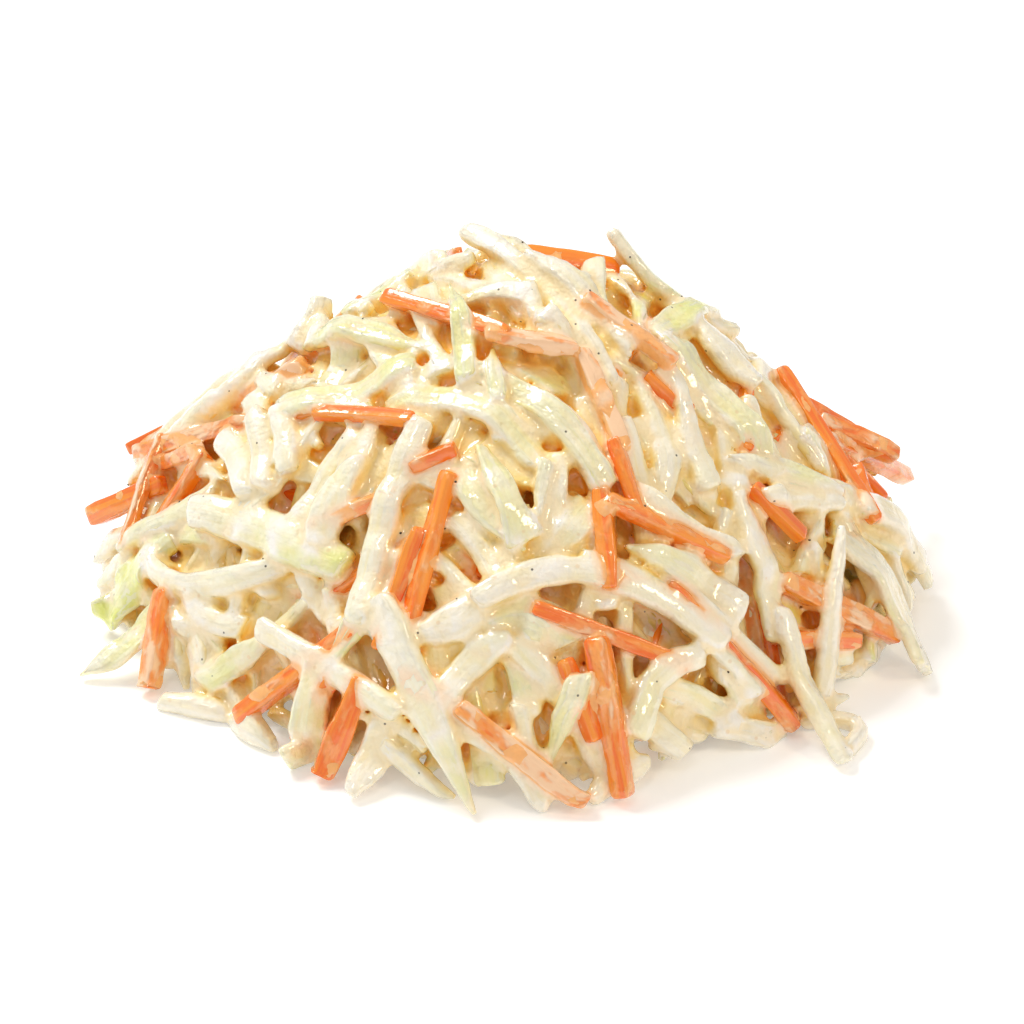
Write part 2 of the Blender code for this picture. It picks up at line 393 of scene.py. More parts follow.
def close_outwards():
    """Turns all faces outwards and leaves edit mode."""
    bpy.ops.mesh.select_all(action="SELECT")
    bpy.ops.mesh.normals_make_consistent(inside=False)
    bpy.ops.object.mode_set(mode="OBJECT")


def bar_master(name, sides, steps, ends=ROUND_ENDS, turn=0.0):
    """A bar one unit long and one across: a ring drawn out along +X, with both ends eased over."""
    select_only()
    facing_along = (0, math.pi / 2, 0)
    bpy.ops.mesh.primitive_circle_add(vertices=sides, radius=0.5, fill_type="NGON", rotation=facing_along)
    master = bpy.context.object
    master.name = name
    bpy.ops.object.transform_apply(rotation=True)
    edit_all(master)
    if turn:
        bpy.ops.transform.rotate(value=turn, orient_axis="X", center_override=(0, 0, 0))
    places = [place for place, size in ends["rows"]]
    tapers = [size for place, size in ends["rows"]]
    body = np.linspace(ends["body"], 1 - ends["body"], steps)
    rows = [*places, *body, *(1 - place for place in reversed(places))]
    sizes = [*tapers, *([1.0] * steps), *reversed(tapers)]
    bpy.ops.transform.resize(value=(1, sizes[0], sizes[0]), center_override=(0, 0, 0))
    for before, after, old, new in zip(rows, rows[1:], sizes, sizes[1:]):
        bpy.ops.mesh.extrude_region_move(TRANSFORM_OT_translate={"value": (after - before, 0, 0)})
        bpy.ops.transform.resize(value=(1, new / old, new / old), center_override=(after, 0, 0))
    close_outwards()
    return master


def carrot_master(name, steps):
    """A square stick one unit long: a square drawn out along +X, with its long edges eased."""
    master = bar_master(name, 4, steps, turn=math.pi / 4)
    mesh = master.data
    select_only(master)
    bpy.ops.object.mode_set(mode="EDIT")
    bpy.ops.mesh.select_mode(type="EDGE")
    bpy.ops.mesh.select_all(action="DESELECT")
    bpy.ops.object.mode_set(mode="OBJECT")
    for edge in mesh.edges:
        one, two = (mesh.vertices[index].co for index in edge.vertices)
        edge.select = abs(one.x - two.x) > TINY
    bpy.ops.object.mode_set(mode="EDIT")
    bpy.ops.mesh.bevel(offset=EDGE_EASE, segments=2, affect="EDGES")
    close_outwards()
    return master


def read_master(master, squareness):
    """The master's points and faces as arrays, with its section made squarer. Removes the master."""
    mesh = master.data
    points = read_rows(mesh.vertices, "co", 3, np.float64)
    faces = [tuple(face.vertices) for face in mesh.polygons]
    bpy.data.objects.remove(master)
    section = points[:, 1:]
    if squareness > ROUND:
        radius = np.linalg.norm(section, axis=1)
        unit = np.abs(section) / np.maximum(radius, NEARLY_NONE)[:, None]
        bulge = (unit**squareness).sum(1) ** (-1 / squareness)
        points[:, 1:] = section * bulge[:, None]
    sizes = np.array([len(face) for face in faces])
    corners = np.concatenate([np.array(face) for face in faces])
    return {"points": points, "sizes": sizes, "corners": corners}


def profile(shape, along):
    """Share of the full width at each place along a shred."""
    if shape == "point":
        return np.clip((1 - along) / 0.5, 0.07, 1) ** 0.75
    if shape == "spear":
        return np.clip(np.sin(math.pi * np.clip(along, 0.02, 0.98)), 0.08, 1) ** 0.7
    if shape == "wedge":
        return 0.4 + 0.6 * along
    if shape == "lens":
        return np.sin(math.pi * np.clip(along, 0.06, 0.94)) ** 0.4
    return 1 - 0.12 * (2 * along - 1) ** 4


# ---------------------------------------------------------------------------- laying


def middle_line(shred, skin):
    """Where the middle of a shred runs: between its ends, over the heap as it is so far."""
    along = np.linspace(0, 1, STATIONS)[:, None]
    ends = [np.array(shred["start"], float), np.array(shred["end"], float)]
    via = np.array(shred["via"], float) if "via" in shred else (ends[0] + ends[1]) / 2
    pull = 2 * via - (ends[0] + ends[1]) / 2
    route = (1 - along) ** 2 * ends[0] + 2 * along * (1 - along) * pull + along**2 * ends[1]
    heading = ends[1][:2] - ends[0][:2]
    aside = np.array([-heading[1], heading[0]]) / max(np.linalg.norm(heading), NEARLY_NONE)
    route[:, :2] += aside * shred["bow"] * np.sin(math.pi * along)
    draped = np.stack([route[:, 0], route[:, 1], mound_height(route[:, 0], route[:, 1]) + route[:, 2]], 1)
    straight = draped[0] * (1 - along) + draped[-1] * along
    straight[:, :2] = route[:, :2]
    stiff = shred["stiff"]
    line = straight * stiff + draped * (1 - stiff)
    length = np.linalg.norm(np.diff(line, axis=0), axis=1).sum()
    out = outward(line)
    half = shred["thickness"] / 2
    distance = np.linalg.norm(line, axis=1)
    if shred["layer"] == "under":
        room = mound_reach(line) - shred["sunk"] - distance
        line = line + out * np.where(room < 0, room, room * BED_DRAW)[:, None]
        distance = np.linalg.norm(line, axis=1)
    sunk = skin.at(line) + half * NESTLE - distance
    if shred["layer"] != "under":
        wide = max(3, int(FOLLOW_LENGTH / max(length, 1) * STATIONS) | 1)
        window = np.hanning(wide + 2)[1:-1]
        padded = np.pad(np.maximum(sunk, 0), wide // 2, mode="edge")
        local = np.convolve(padded, window / window.sum(), mode="valid")
        lift = local * (1 - stiff) + np.percentile(np.maximum(sunk, 0), STIFF_CLEARS) * stiff
        line = line + out * np.minimum(lift, shred["most_lift"])[:, None]
    return line


def axes_along(line, roll):
    """Along, across and out directions at each station of a middle line."""
    along = np.gradient(line, axis=0)
    along /= np.linalg.norm(along, axis=1, keepdims=True)
    out = outward(line)
    across = np.cross(out, along)
    across += SIDE_WHEN_STEEP * (np.linalg.norm(across, axis=1, keepdims=True) < STEEP)
    across -= along * (across * along).sum(1, keepdims=True)
    across /= np.linalg.norm(across, axis=1, keepdims=True)
    out = np.cross(along, across)
    turned = np.radians(np.linspace(roll[0], roll[1], len(line)))[:, None]
    side = across * np.cos(turned) + out * np.sin(turned)
    face = out * np.cos(turned) - across * np.sin(turned)
    return along, side, face


def sampled(values, places):
    """Values given at even stations, read at other places between 0 and 1."""
    even = np.linspace(0, 1, len(values))
    return np.stack([np.interp(places, even, column) for column in values.T], 1)


def bend_shred(shred, skin, master):
    """The master's points bent along the shred's middle line, with what its material reads."""
    line = middle_line(shred, skin)
    along, side, face = axes_along(line, shred["roll"])
    steps = np.linspace(0, 1, len(line))
    wobble = ripple(np.stack([steps * shred["length"], steps * 0], 1), WOBBLE_LENGTH, shred["seed"])
    wide = shred["width"] * profile(shred["shape"], steps) * (1 + WOBBLE * wobble)
    thin = profile(shred["shape"], steps) ** THIN_TIPS * (1 + WOBBLE * np.roll(wobble, 7))
    thick = shred["thickness"] * thin
    low = line[:, 2] - np.abs(side[:, 2]) * wide / 2 - np.abs(face[:, 2]) * thick / 2
    line[:, 2] += np.maximum(FLOOR_CLEARANCE - low, 0)
    share, aside, above = master["points"].T
    spot, ahead, sideways, upwards = (sampled(values, share) for values in (line, along, side, face))
    local_width = np.interp(share, steps, wide)
    local_height = np.interp(share, steps, thick)
    across = aside * local_width
    skewed = across * shred["skew"] * (2 * share - 1)
    curled = shred["curl"] * (aside * aside * 4 - CURL_LEVEL) * local_width / 2
    waves = np.sin(share * shred["length"] * RUFFLE_WAVE + shred["seed"])
    curled += shred["ruffle"] * waves * (2 * aside) ** 3
    groove = shred["groove"] * np.cos(aside * 2 * math.pi * shred["ribs"]) * np.sign(above) * GROOVE_DEPTH
    height = above * local_height
    points = spot + ahead * skewed[:, None] + sideways * across[:, None]
    points = points + upwards * (height + curled + groove)[:, None]
    push = sideways * aside[:, None] + upwards * above[:, None]
    push /= np.maximum(np.linalg.norm(push, axis=1, keepdims=True), NEARLY_NONE)
    lumps = unevenness(points, **SHRED_WAVES)
    points = points + push * (lumps * LUMPS[shred["kind"]] * shred["wet"])[:, None]
    points[:, 2] = np.maximum(points[:, 2], FLOOR_LEAST)
    places = np.linspace(0.02, 0.98, 2 * len(line))
    breadth = np.interp(places, steps, wide)
    for share_across in COVER_LINES:
        spots = sampled(line, places) + sampled(side, places) * (breadth * share_across)[:, None]
        skin.cover(spots + sampled(face, places) * (shred["thickness"] * COVER_RISE))
    apart = (shred["seed"] % STRAND_STEPS) * STRAND_STEP
    strand = np.stack([share * shred["length"], across, height + apart], 1)
    green = np.clip(shred["green"][0] * (1 - share) + shred["green"][1] * share, 0, 1)
    return {"points": points, "strand": strand, "green": green, "wet": np.full(len(share), shred["wet"])}


def make_shred(number, kind, width, start, end, layer="top", **more):
    """A shred's facts, with what isn't given drawn from its number."""
    draw = np.random.default_rng(1000 + number)
    plan = math.hypot(end[0] - start[0], end[1] - start[1])
    start = (*start, 0)[:3]
    end = (*end, 0)[:3]
    heights = [float(mound_height(place[0], place[1])) + place[2] for place in (start, end)]
    shred = {
        "kind": kind,
        "width": width,
        "start": start,
        "end": end,
        "layer": layer,
        "length": math.hypot(plan, heights[1] - heights[0]),
        "thickness": THICKNESS[kind] * draw.uniform(0.85, 1.15),
        "shape": draw.choice(["bar", "bar", "point", "lens", "wedge"]),
        "stiff": STIFFNESS[kind],
        "bow": draw.normal(0, 0.07) * plan,
        "roll": tuple(draw.normal(0, 14, 2)),
        "skew": draw.uniform(-0.5, 0.5),
        "curl": draw.normal(0, 0.10),
        "ruffle": 0.0,
        "groove": 0.0,
        "ribs": 2,
        "green": (0.05, 0.05),
        "wet": draw.uniform(0.7, 1.3),
        "most_lift": 3.5,
        "sunk": 0.0,
        "seed": number,
    }
    if kind == "leaf":
        shred["green"] = tuple(draw.uniform(0.15, 0.75, 2))
        shred["ruffle"] = draw.uniform(0.1, 0.5)
        shred["groove"] = draw.uniform(0.2, 1.0)
        shred["ribs"] = 2.5
    if kind == "rib":
        shred["green"] = (max(0.0, draw.normal(0.0, 0.15)), max(0.0, draw.normal(0.05, 0.15)))
        shred["groove"] = draw.uniform(0, 0.6)
    if kind == "carrot":
        shred["thickness"] = width * draw.uniform(0.8, 1.0)
        shred["shape"] = "bar"
        shred["bow"] = draw.normal(0, 0.015) * plan
        shred["roll"] = (draw.uniform(-45, 45),) * 2
        shred["skew"] = draw.uniform(-0.15, 0.15)
        shred["curl"] = 0.0
        shred["wet"] = draw.uniform(0.2, 1.0)
    shred.update(more)
    return shred


def inside_edge(x, y, over):
    """A place in plan drawn back to just past the edge of the base."""
    share = min(1.0, float(base_radius(math.atan2(y, x)) + over) / max(math.hypot(x, y), NEARLY_NONE))
    return x * share, y * share


def settled(x, y):
    """How much lower the outer shreds lie down the left side and along the crest."""
    left = min(LEFT_MOST, max(0.0, LEFT_FALL * (LEFT_FROM - x)))
    aside = (x - CREST_PLACE[0]) / CREST_SPREAD[0]
    behind = (y - CREST_PLACE[1]) / CREST_SPREAD[1]
    return max(left, CREST_FALL * math.exp(-(aside**2) - behind**2))


def rule_layer(first, count, shares, layer, sunk, size=1.0, lie=None, keep=lambda x, y: True):
    """Shreds laid in even steps all round the heap, each in a direction of its own."""
    draw = np.random.default_rng(first)
    golden_turn = math.pi * (3 - math.sqrt(5))
    shreds = []
    for number in range(count):
        kind = draw.choice(["rib", "leaf", "carrot"], p=shares)
        share = ((number + 0.5) / count) ** 0.5
        angle = number * golden_turn + first
        reach = share * float(base_radius(angle))
        x, y = reach * math.cos(angle), reach * math.sin(angle)
        heading = draw.uniform(0, 2 * math.pi) if lie is None else draw.normal(*lie)
        length = draw.uniform(*LENGTHS[kind]) * size
        slope = float(mound_height(x, y)) / MOUND_HEIGHT
        half = length / 2 * (PLAN_AT_EDGE + PLAN_GAIN * slope)
        width = draw.uniform(*WIDTHS[kind]) * size**WIDTH_POWER
        tips = draw.exponential(TIP_RISE, 2) - settled(x, y) if layer == "top" else (0, 0)
        if not keep(x, y):
            continue
        run = (half * math.cos(heading), half * math.sin(heading))
        start = inside_edge(x - run[0], y - run[1], EDGE_OVER)
        end = inside_edge(x + run[0], y + run[1], EDGE_OVER)
        if math.dist(start, end) < SHORTEST * size:
            continue
        ends = (*start, tips[0]), (*end, tips[1])
        shreds.append(make_shred(first + number, kind, width, *ends, layer, sunk=sunk))
    return shreds


def on_the_back(x, y):
    """True where no listed shred is laid: behind the crest and round the sides."""
    return y > BACK_FROM + BACK_SLANT * abs(x)


def in_the_front(x, y):
    """True where the listed shreds lie over others."""
    return not on_the_back(x, y)


# ---------------------------------------------------------------------------- laid one by one

# Each row: kind, width, start and end as (x, y, rise above the mound), then what sets it apart.
# The first rows lie lowest. LOW, MIDDLE and TOP are numbered from HAND_FIRST on, and LOWEST before them.
HAND_FIRST = 500
LOWEST = [
    ("rib", 5.5, (-52, 10, 1.0), (-36, 8, 0.5), {"shape": "bar", "wet": 1.3}),
    ("rib", 6.0, (-47, 7, 1.0), (-36, 1, 0.8), {"shape": "lens", "wet": 1.3}),
    ("rib", 6.0, (-43, 1, 1.0), (-33, 6, 0.5), {"shape": "lens", "wet": 1.3}),
]

LOW = [
    ("carrot", 3.4, (-50, -10, -1), (-42, -6, -1)),
    ("carrot", 3.2, (-31, -12, -1), (-24, -15, -1)),
    ("carrot", 3.4, (13, -38, -1), (23, -36, -1)),
    ("carrot", 3.6, (36, -32, -1), (47, -25, -1)),
    ("carrot", 3.4, (7, -46, -1), (11, -51, -1)),
    ("carrot", 4.0, (-49, -28, 0), (-46.5, -20, 0)),
    ("carrot", 3.4, (-13, -45, -1), (-8, -49, -1)),
    ("carrot", 3.2, (-28, -43, -1), (-22, -41, -1)),
    ("carrot", 3.2, (32, -20, -1), (39, -21, -1)),
    ("carrot", 3.2, (-13, -27, -1), (-7, -27, -1)),
    ("carrot", 3.2, (18, -14, -1), (24, -16, -1)),
    ("rib", 4.5, (-35, -20, -1), (-24, -15, -1)),
    ("rib", 5.0, (-44, -22, -1), (-36, -30, -1)),
    ("rib", 5.0, (-24, -28, -0.5), (-18, -20, -0.5)),
    ("rib", 5.0, (3, -22, -0.5), (12, -30, -0.5)),
    ("leaf", 7.0, (-6, -28, -1), (2, -38, -0.5), {"green": (0.35, 0.2)}),
    ("leaf", 7.0, (26, -36, -1), (36, -42, 0), {"green": (0.1, 0.1)}),
    ("rib", 5.0, (28, -44, 0), (38, -39, 0)),
]

MIDDLE = [
    ("carrot", 3.0, (-57, 8, 14), (-47, 8, 5), {"wet": 0.3}),
    ("carrot", 3.6, (-55, 6, 10), (-37, -7, 1), {"wet": 1.1}),
    ("carrot", 3.0, (-50, 1, 2), (-43, -6, 1), {"wet": 1.0}),
    ("carrot", 2.8, (-48, 3, 3), (-53, -9, 1), {"wet": 0.8}),
    ("carrot", 4.4, (-61.5, 2.5, 11), (-50, -3, 2), {"wet": 0.3}),
    ("rib", 4.5, (-43, 5, 1), (-52, 4, 3), {"wet": 1.3}),
    ("rib", 4.5, (-53, 3, 2), (-40, 1, 1.5), {"wet": 1.3}),
    ("rib", 4.8, (-46, 7, 2), (-34, 3, 1.5), {"wet": 1.3}),
    ("rib", 4.2, (-40, 0, 1.5), (-30, 5, 1), {"wet": 1.3}),
    ("carrot", 4.4, (36, -27.5, 0), (53, -21, 1), {"wet": 0.9}),
    ("carrot", 3.8, (-36, -37, 0), (-20, -39.5, 0), {"wet": 0.6}),
    ("carrot", 4.8, (-25, -49, 0), (-19, -44, 0.5), {"wet": 0.4}),
    ("carrot", 3.4, (3, -43, 0), (23, -41.5, 0), {"wet": 0.5}),
    ("carrot", 3.8, (42, 10, 2), (51, 11.5, 5), {"wet": 0.6}),
    ("carrot", 3.4, (44, 7, 1), (56, 8, 8), {"wet": 0.9}),
    ("carrot", 3.4, (46, 3, 1), (60.5, 20, 8), {"wet": 0.7}),
    ("leaf", 4.5, (49, 12, 1), (58, 23, 2), {"green": (0.5, 0.7), "shape": "bar"}),
    ("carrot", 4.0, (0, 5, -0.8), (15, 7, 0), {"wet": 0.35}),
    ("carrot", 2.4, (14, 5, -2), (19, 2, -2), {"wet": 0.9, "most_lift": 0.0}),
    ("rib", 4.4, (-61, 1, 5), (-54, -5, 1), {"shape": "lens"}),
    ("rib", 4.2, (-60, -4, 2), (-53, -10, 1), {"shape": "lens"}),
    ("rib", 4.4, (-30, 3, 1), (-27, 8, 8.5), {"shape": "bar", "roll": (70, 80), "wet": 1.1}),
    ("rib", 4.6, (-26.5, 8, 2), (-27, -1, 1), {"shape": "lens", "wet": 1.4}),
    ("rib", 4.6, (-22, 9, 2), (-24, 0, 1), {"shape": "lens", "wet": 1.4}),
    ("leaf", 6.0, (-19, 8, 0.5), (-9, 8.5, 0.5), {"green": (0.85, 0.7), "shape": "lens", "most_lift": 1.0}),
    ("leaf", 6.0, (-23, 2, 1), (-14, 8, 2), {"green": (0.65, 0.75), "shape": "wedge"}),
    ("rib", 5.0, (26, 4, 0), (32, 8, 3.5), {"shape": "lens"}),
    ("leaf", 6.0, (-31, -49, 1), (-25, -40, 1), {"green": (0.55, 0.35), "shape": "bar"}),
    ("rib", 5.5, (-22, -56.5, 1.5), (-15, -47, 1), {"shape": "lens", "wet": 1.5}),
    ("rib", 5.0, (11, -57, 1), (19, -51, 1), {"shape": "lens", "wet": 1.4}),
    ("leaf", 4.6, (19, -46, 1.5), (31, -42.5, 1.5), {"green": (0.25, 0.3), "shape": "lens", "stiff": 0.6}),
    ("rib", 5.0, (-46, -24, 1), (-44, -33, 1), {"shape": "lens"}),
    ("rib", 3.6, (-50, -32.5, 1), (-40, -36, 1), {"shape": "bar"}),
    ("leaf", 5.0, (-54, -8, 1), (-42, -13, 1), {"green": (0.3, 0.2)}),
    ("rib", 5.0, (-39, -37, 1), (-33, -44, 1), {"shape": "lens"}),
    ("rib", 4.2, (-31, -28, 1), (-21, -20, 1), {"shape": "bar"}),
    ("rib", 5.5, (-26, -31, 1), (-20, -24, 1), {"shape": "lens", "wet": 1.5}),
    ("rib", 6.0, (26, 0, 1), (34, -6, 1), {"shape": "lens"}),
    ("rib", 4.4, (35, 10, 2), (36, -1, 1), {"shape": "lens", "wet": 1.3}),
    ("leaf", 8.5, (45, -17, 1.5), (58.5, -26, 2),
     {"green": (0.05, 0.0), "bow": 3.5, "shape": "bar", "stiff": 0.7}),
    ("leaf", 7.0, (41, -15, 1), (56, -8, 2), {"green": (0.1, 0.1), "shape": "bar"}),
    ("rib", 5.5, (48, -11, 1), (59.5, -5, 2), {"shape": "bar", "wet": 1.3}),
    ("rib", 4.8, (18, -15, 1), (20.5, -30, 1), {"shape": "lens"}),
    ("rib", 5.0, (22, -13, 1), (27, -24, 1), {"shape": "wedge", "wet": 1.4}),
    ("rib", 5.4, (16, -29, 1), (31, -28, 1), {"shape": "lens", "wet": 1.3}),
    ("leaf", 7.0, (-4, -28, 1), (2, -38, 1), {"green": (0.5, 0.25), "shape": "wedge"}),
    ("leaf", 7.5, (-3, -45, 1), (8, -46, 1), {"green": (0.3, 0.4), "shape": "bar"}),
    ("rib", 6.0, (-12, -44, 1), (-2, -42, 1), {"shape": "lens", "wet": 1.3}),
    ("rib", 5.2, (-10, -50.5, 1), (0, -46, 1), {"shape": "lens", "wet": 1.6}),
    ("rib", 4.2, (-8, -34.5, 1), (-1, -42, 1), {"shape": "bar"}),
    ("rib", 2.6, (5, -30, 1.5), (4, -36, 1), {"shape": "point"}),
    ("leaf", 6.4, (4.5, -41, 1), (11, -33, 1.5), {"green": (0.35, 0.25), "shape": "wedge"}),
    ("leaf", 4.6, (-23, -41, 1), (-15, -35.5, 1), {"green": (0.65, 0.55), "shape": "lens"}),
    ("rib", 4.4, (-9, -51, 1), (5, -58, 1.5), {"shape": "bar", "wet": 1.3}),
    ("leaf", 4.6, (9, -48, 1.5), (5, -55, 1), {"green": (0.2, 0.5), "shape": "point"}),
]

TOP = [
    ("carrot", 4.0, (-29, -3, 0.0), (-44, 4, 0.5), {"wet": 1.4, "roll": (20, 20), "most_lift": 1.5}),
    ("carrot", 3.3, (-17, -2.5, 0.5), (0, -15.5, 1), {"wet": 0.45, "roll": (30, 30)}),
    ("carrot", 3.5, (-3, -15, 1), (9, -16, 1.2), {"wet": 1.3}),
    ("leaf", 5.0, (-29, 0, 1.5), (-12, -13, 1.5), {"green": (0.5, 0.5), "groove": 1.6, "shape": "spear"}),
    ("leaf", 5.0, (-33, -11.5, 1.5), (-13, -14.5, 1.5), {"green": (0.4, 0.6), "groove": 1.0, "shape": "bar"}),
    ("leaf", 5.2, (-17, -18, 1), (4, -30, 1.5), {"green": (0.5, 0.2), "groove": 1.6, "bow": 2.0}),
    ("leaf", 4.6, (-7, -18, 1.5), (13, -31, 1.5), {"green": (0.45, 0.2), "groove": 1.6, "bow": 1.5}),
    ("leaf", 3.8, (-6, -20, 1.5), (-8.5, -4.5, 3), {"green": (0.6, 0.35), "shape": "point"}),
    ("leaf", 3.2, (-1.5, -23, 1), (-2.5, -16, 2), {"green": (0.5, 0.4), "shape": "point"}),
    ("leaf", 5.4, (20, -7, 1), (28, 9.5, 2.5), {"green": (0.45, 0.8), "shape": "bar", "stiff": 0.5}),
    ("rib", 4.2, (24, 6, 1), (14.5, 9, 8.5),
     {"green": (0.7, 0.0), "shape": "bar", "stiff": 0.6, "roll": (10, 20)}),
    ("rib", 3.3, (-6.5, 8, 6), (14, -18, 1), {"bow": 1.0, "shape": "bar", "groove": 0.8, "most_lift": 5}),
    ("rib", 2.8, (-3.5, 9, 4), (11, -11, 1.5), {"bow": 1.4, "shape": "bar", "groove": 0.8, "most_lift": 5}),
    ("rib", 5.0, (2, -1, 2), (16, -14, 1), {"shape": "spear", "groove": 0.9, "wet": 1.3}),
    ("carrot", 3.4, (10, -8, 1.5), (22, -13.5, 2.5), {"wet": 1.2}),
    ("carrot", 3.4, (9.5, -15.5, 1), (15, -26, 1), {"wet": 1.4}),
    ("carrot", 3.1, (13.5, -25, 0.5), (17, -32, 0.5), {"wet": 0.4}),
    ("leaf", 6.4, (22, -7, 1.5), (36, -16, 1.5), {"green": (0.35, 0.3), "groove": 1.0, "shape": "bar"}),
    ("carrot", 3.2, (37.5, 5, 2), (50.5, -12, 2.5), {"wet": 0.3, "roll": (40, 40)}),
    ("rib", 5.4, (30, -19, 1.5), (46, -12, 2), {"green": (0.05, 0.5), "shape": "spear"}),
    ("rib", 4.4, (34, -21, 1), (45.5, -14, 1.5), {"shape": "lens", "wet": 1.5}),
    ("rib", 5.0, (-41, -7.5, 2), (-35.5, -19.5, 1.5), {"shape": "bar", "wet": 1.2, "groove": 0.1}),
    ("rib", 4.2, (-37, -3, 1.5), (-34.5, -14, 1), {"shape": "bar"}),
    ("rib", 4.0, (-34.5, -10, 1.2), (-33, -20, 1), {"shape": "bar"}),
    ("rib", 4.0, (-31, -12, 1), (-29.5, -20.5, 1), {"shape": "bar"}),
    ("carrot", 2.8, (-26, -15.5, 0.5), (-12.5, -23, 0.5), {"wet": 0.3}),
    ("rib", 5.0, (-11.5, -23.5, 1.5), (-20, -40, 1.5), {"shape": "bar", "wet": 1.1, "groove": 0.3}),
    ("carrot", 3.5, (-8, -30.5, 1.5), (-14, -44, 1.5), {"wet": 0.4, "roll": (38, 38)}),
    ("carrot", 3.2, (-12, -34.5, 1), (-17.5, -43, 1), {"wet": 0.5}),
    ("rib", 7.4, (-44, -15, 2), (-22, -34, 1.5),
     {"green": (0.0, 0.7), "shape": "bar", "groove": 0.3, "stiff": 0.6}),
    ("rib", 4.4, (-51, -12.5, 1.5), (-31.5, -28.5, 1.5), {"via": (-46.5, -23.5, 1.5), "shape": "bar"}),
    ("leaf", 8.0, (-61, -12, 4), (-48.5, -13.5, 2), {"green": (1.0, 0.7), "ruffle": 1.4, "shape": "lens"}),
    ("leaf", 6.0, (-49, -19.5, 1.5), (-62, -25.5, 1), {"green": (0.8, 0.1), "shape": "point", "stiff": 0.8}),
    ("leaf", 5.2, (-42, -31.5, 1), (-30.5, -34.5, 1), {"green": (0.5, 0.4)}),
    ("rib", 4.4, (-33, -33, 1.5), (-14.5, -49, 1.5), {"shape": "bar", "stiff": 0.7}),
    ("rib", 7.4, (-17.5, -39, 1.5), (-4.5, -57.5, 1), {"green": (0.0, 0.35), "shape": "point", "stiff": 0.7}),
    ("rib", 3.4, (-17, -50, 1), (-7.5, -56.5, 1), {"shape": "point"}),
    ("rib", 5.2, (31, -22.5, 1.5), (36, -33.5, 1.5), {"shape": "lens", "wet": 1.4}),
    ("carrot", 3.6, (12, -31, 1), (13.2, -40, 1), {"wet": 0.6}),
    ("carrot", 3.3, (12.5, -32.5, 1.5), (28.5, -30.5, 1.5), {"wet": 0.6}),
    ("rib", 5.8, (31, -34, 2), (15.5, -35.5, 1.5), {"shape": "point", "wet": 1.2}),
    ("carrot", 3.7, (20.5, -36.5, 1), (38, -38, 1.5), {"wet": 0.5, "roll": (42, 42)}),
    ("carrot", 4.2, (11, -44.5, 1), (14.7, -54, 1), {"wet": 0.6, "roll": (40, 40)}),
    ("carrot", 3.9, (-6.5, -50, 0.5), (10, -56, 1), {"wet": 1.2}),
    ("rib", 4.8, (-4.5, -43, 1.5), (28, -38.5, 2.5), {"via": (12, -41, 3.5), "shape": "bar", "wet": 1.3}),
    ("rib", 3.8, (36, -31, 2), (45.5, -47.5, 1), {"shape": "bar", "wet": 1.2, "stiff": 0.7}),
    ("rib", 3.2, (39, -36, 2), (48, -34, 3), {"shape": "point"}),
    ("rib", 3.0, (41, -38.5, 1.5), (46, -46.5, 1), {"via": (49.5, -39.5, 2), "shape": "bar"}),
    ("rib", 4.6, (41.5, -34, 1), (44.5, -19.5, 4.5), {"shape": "point", "stiff": 0.9}),
    ("rib", 4.8, (25, -40.5, 1.5), (16.5, -50, 1), {"bow": -2, "shape": "bar"}),
]

# Clots of dressing that hang on the shreds: place on the mound, rise and radius.
CLOTS = [
    (1, -13, 1, 1.3), (13, -42, 2.5, 1.4), (31, -21, 2, 2.0), (27, -24, 1, 1.7), (2, -51.5, 1, 1.8),
    (-13, -39, 0.5, 1.3), (5, 2, 1, 1.5), (-34, -29, 1, 1.4), (-20, 4, 1, 1.5), (36, -36, 1, 1.4),
]

CLOT_SHAPE = (1.5, 1.1, 0.8)

# Deep gaps between the shreds: place on the mound, radius and depth. What lies much deeper is spared.
GAPS = [
    (-10, -26.5, 3.4, 7), (-7.5, -30, 2.6, 6), (-4.5, -33, 2.2, 5), (-6, -41, 3.0, 5), (1.5, -39, 2.4, 6),
    (5, -37, 2.2, 6), (8, -13.5, 3.0, 6), (8, -22, 2.6, 6), (8.5, -27, 1.8, 4), (-15.5, -23, 2.6, 5),
    (-21, -25, 2.6, 6), (-27, -28, 2.6, 6), (-40, -22, 2.8, 5), (-31, -36, 2.2, 5), (35, -20, 2.4, 6),
    (31, -33, 2.6, 6), (14, -43, 2.6, 6), (-1, -53, 2.2, 4), (10, -32, 2.2, 5), (20, -26, 2.2, 5),
    (-24, -13, 2.6, 5), (40, -29, 2.8, 5), (24, -44, 2.4, 5), (-17, -47, 2.2, 5), (17, -3, 2.2, 4),
]

GAP_SPARES = 4


def hand_laid():
    """The listed shreds, from the lowest to the highest."""
    shreds = []
    for number, row in enumerate([*LOWEST, *LOW, *MIDDLE, *TOP], HAND_FIRST - len(LOWEST)):
        kind, width, start, end, *more = row
        width *= HAND_WIDTH[kind]
        shreds.append(make_shred(number, kind, width, start, end, **(more[0] if more else {})))
    return shreds


# ---------------------------------------------------------------------------- meshes


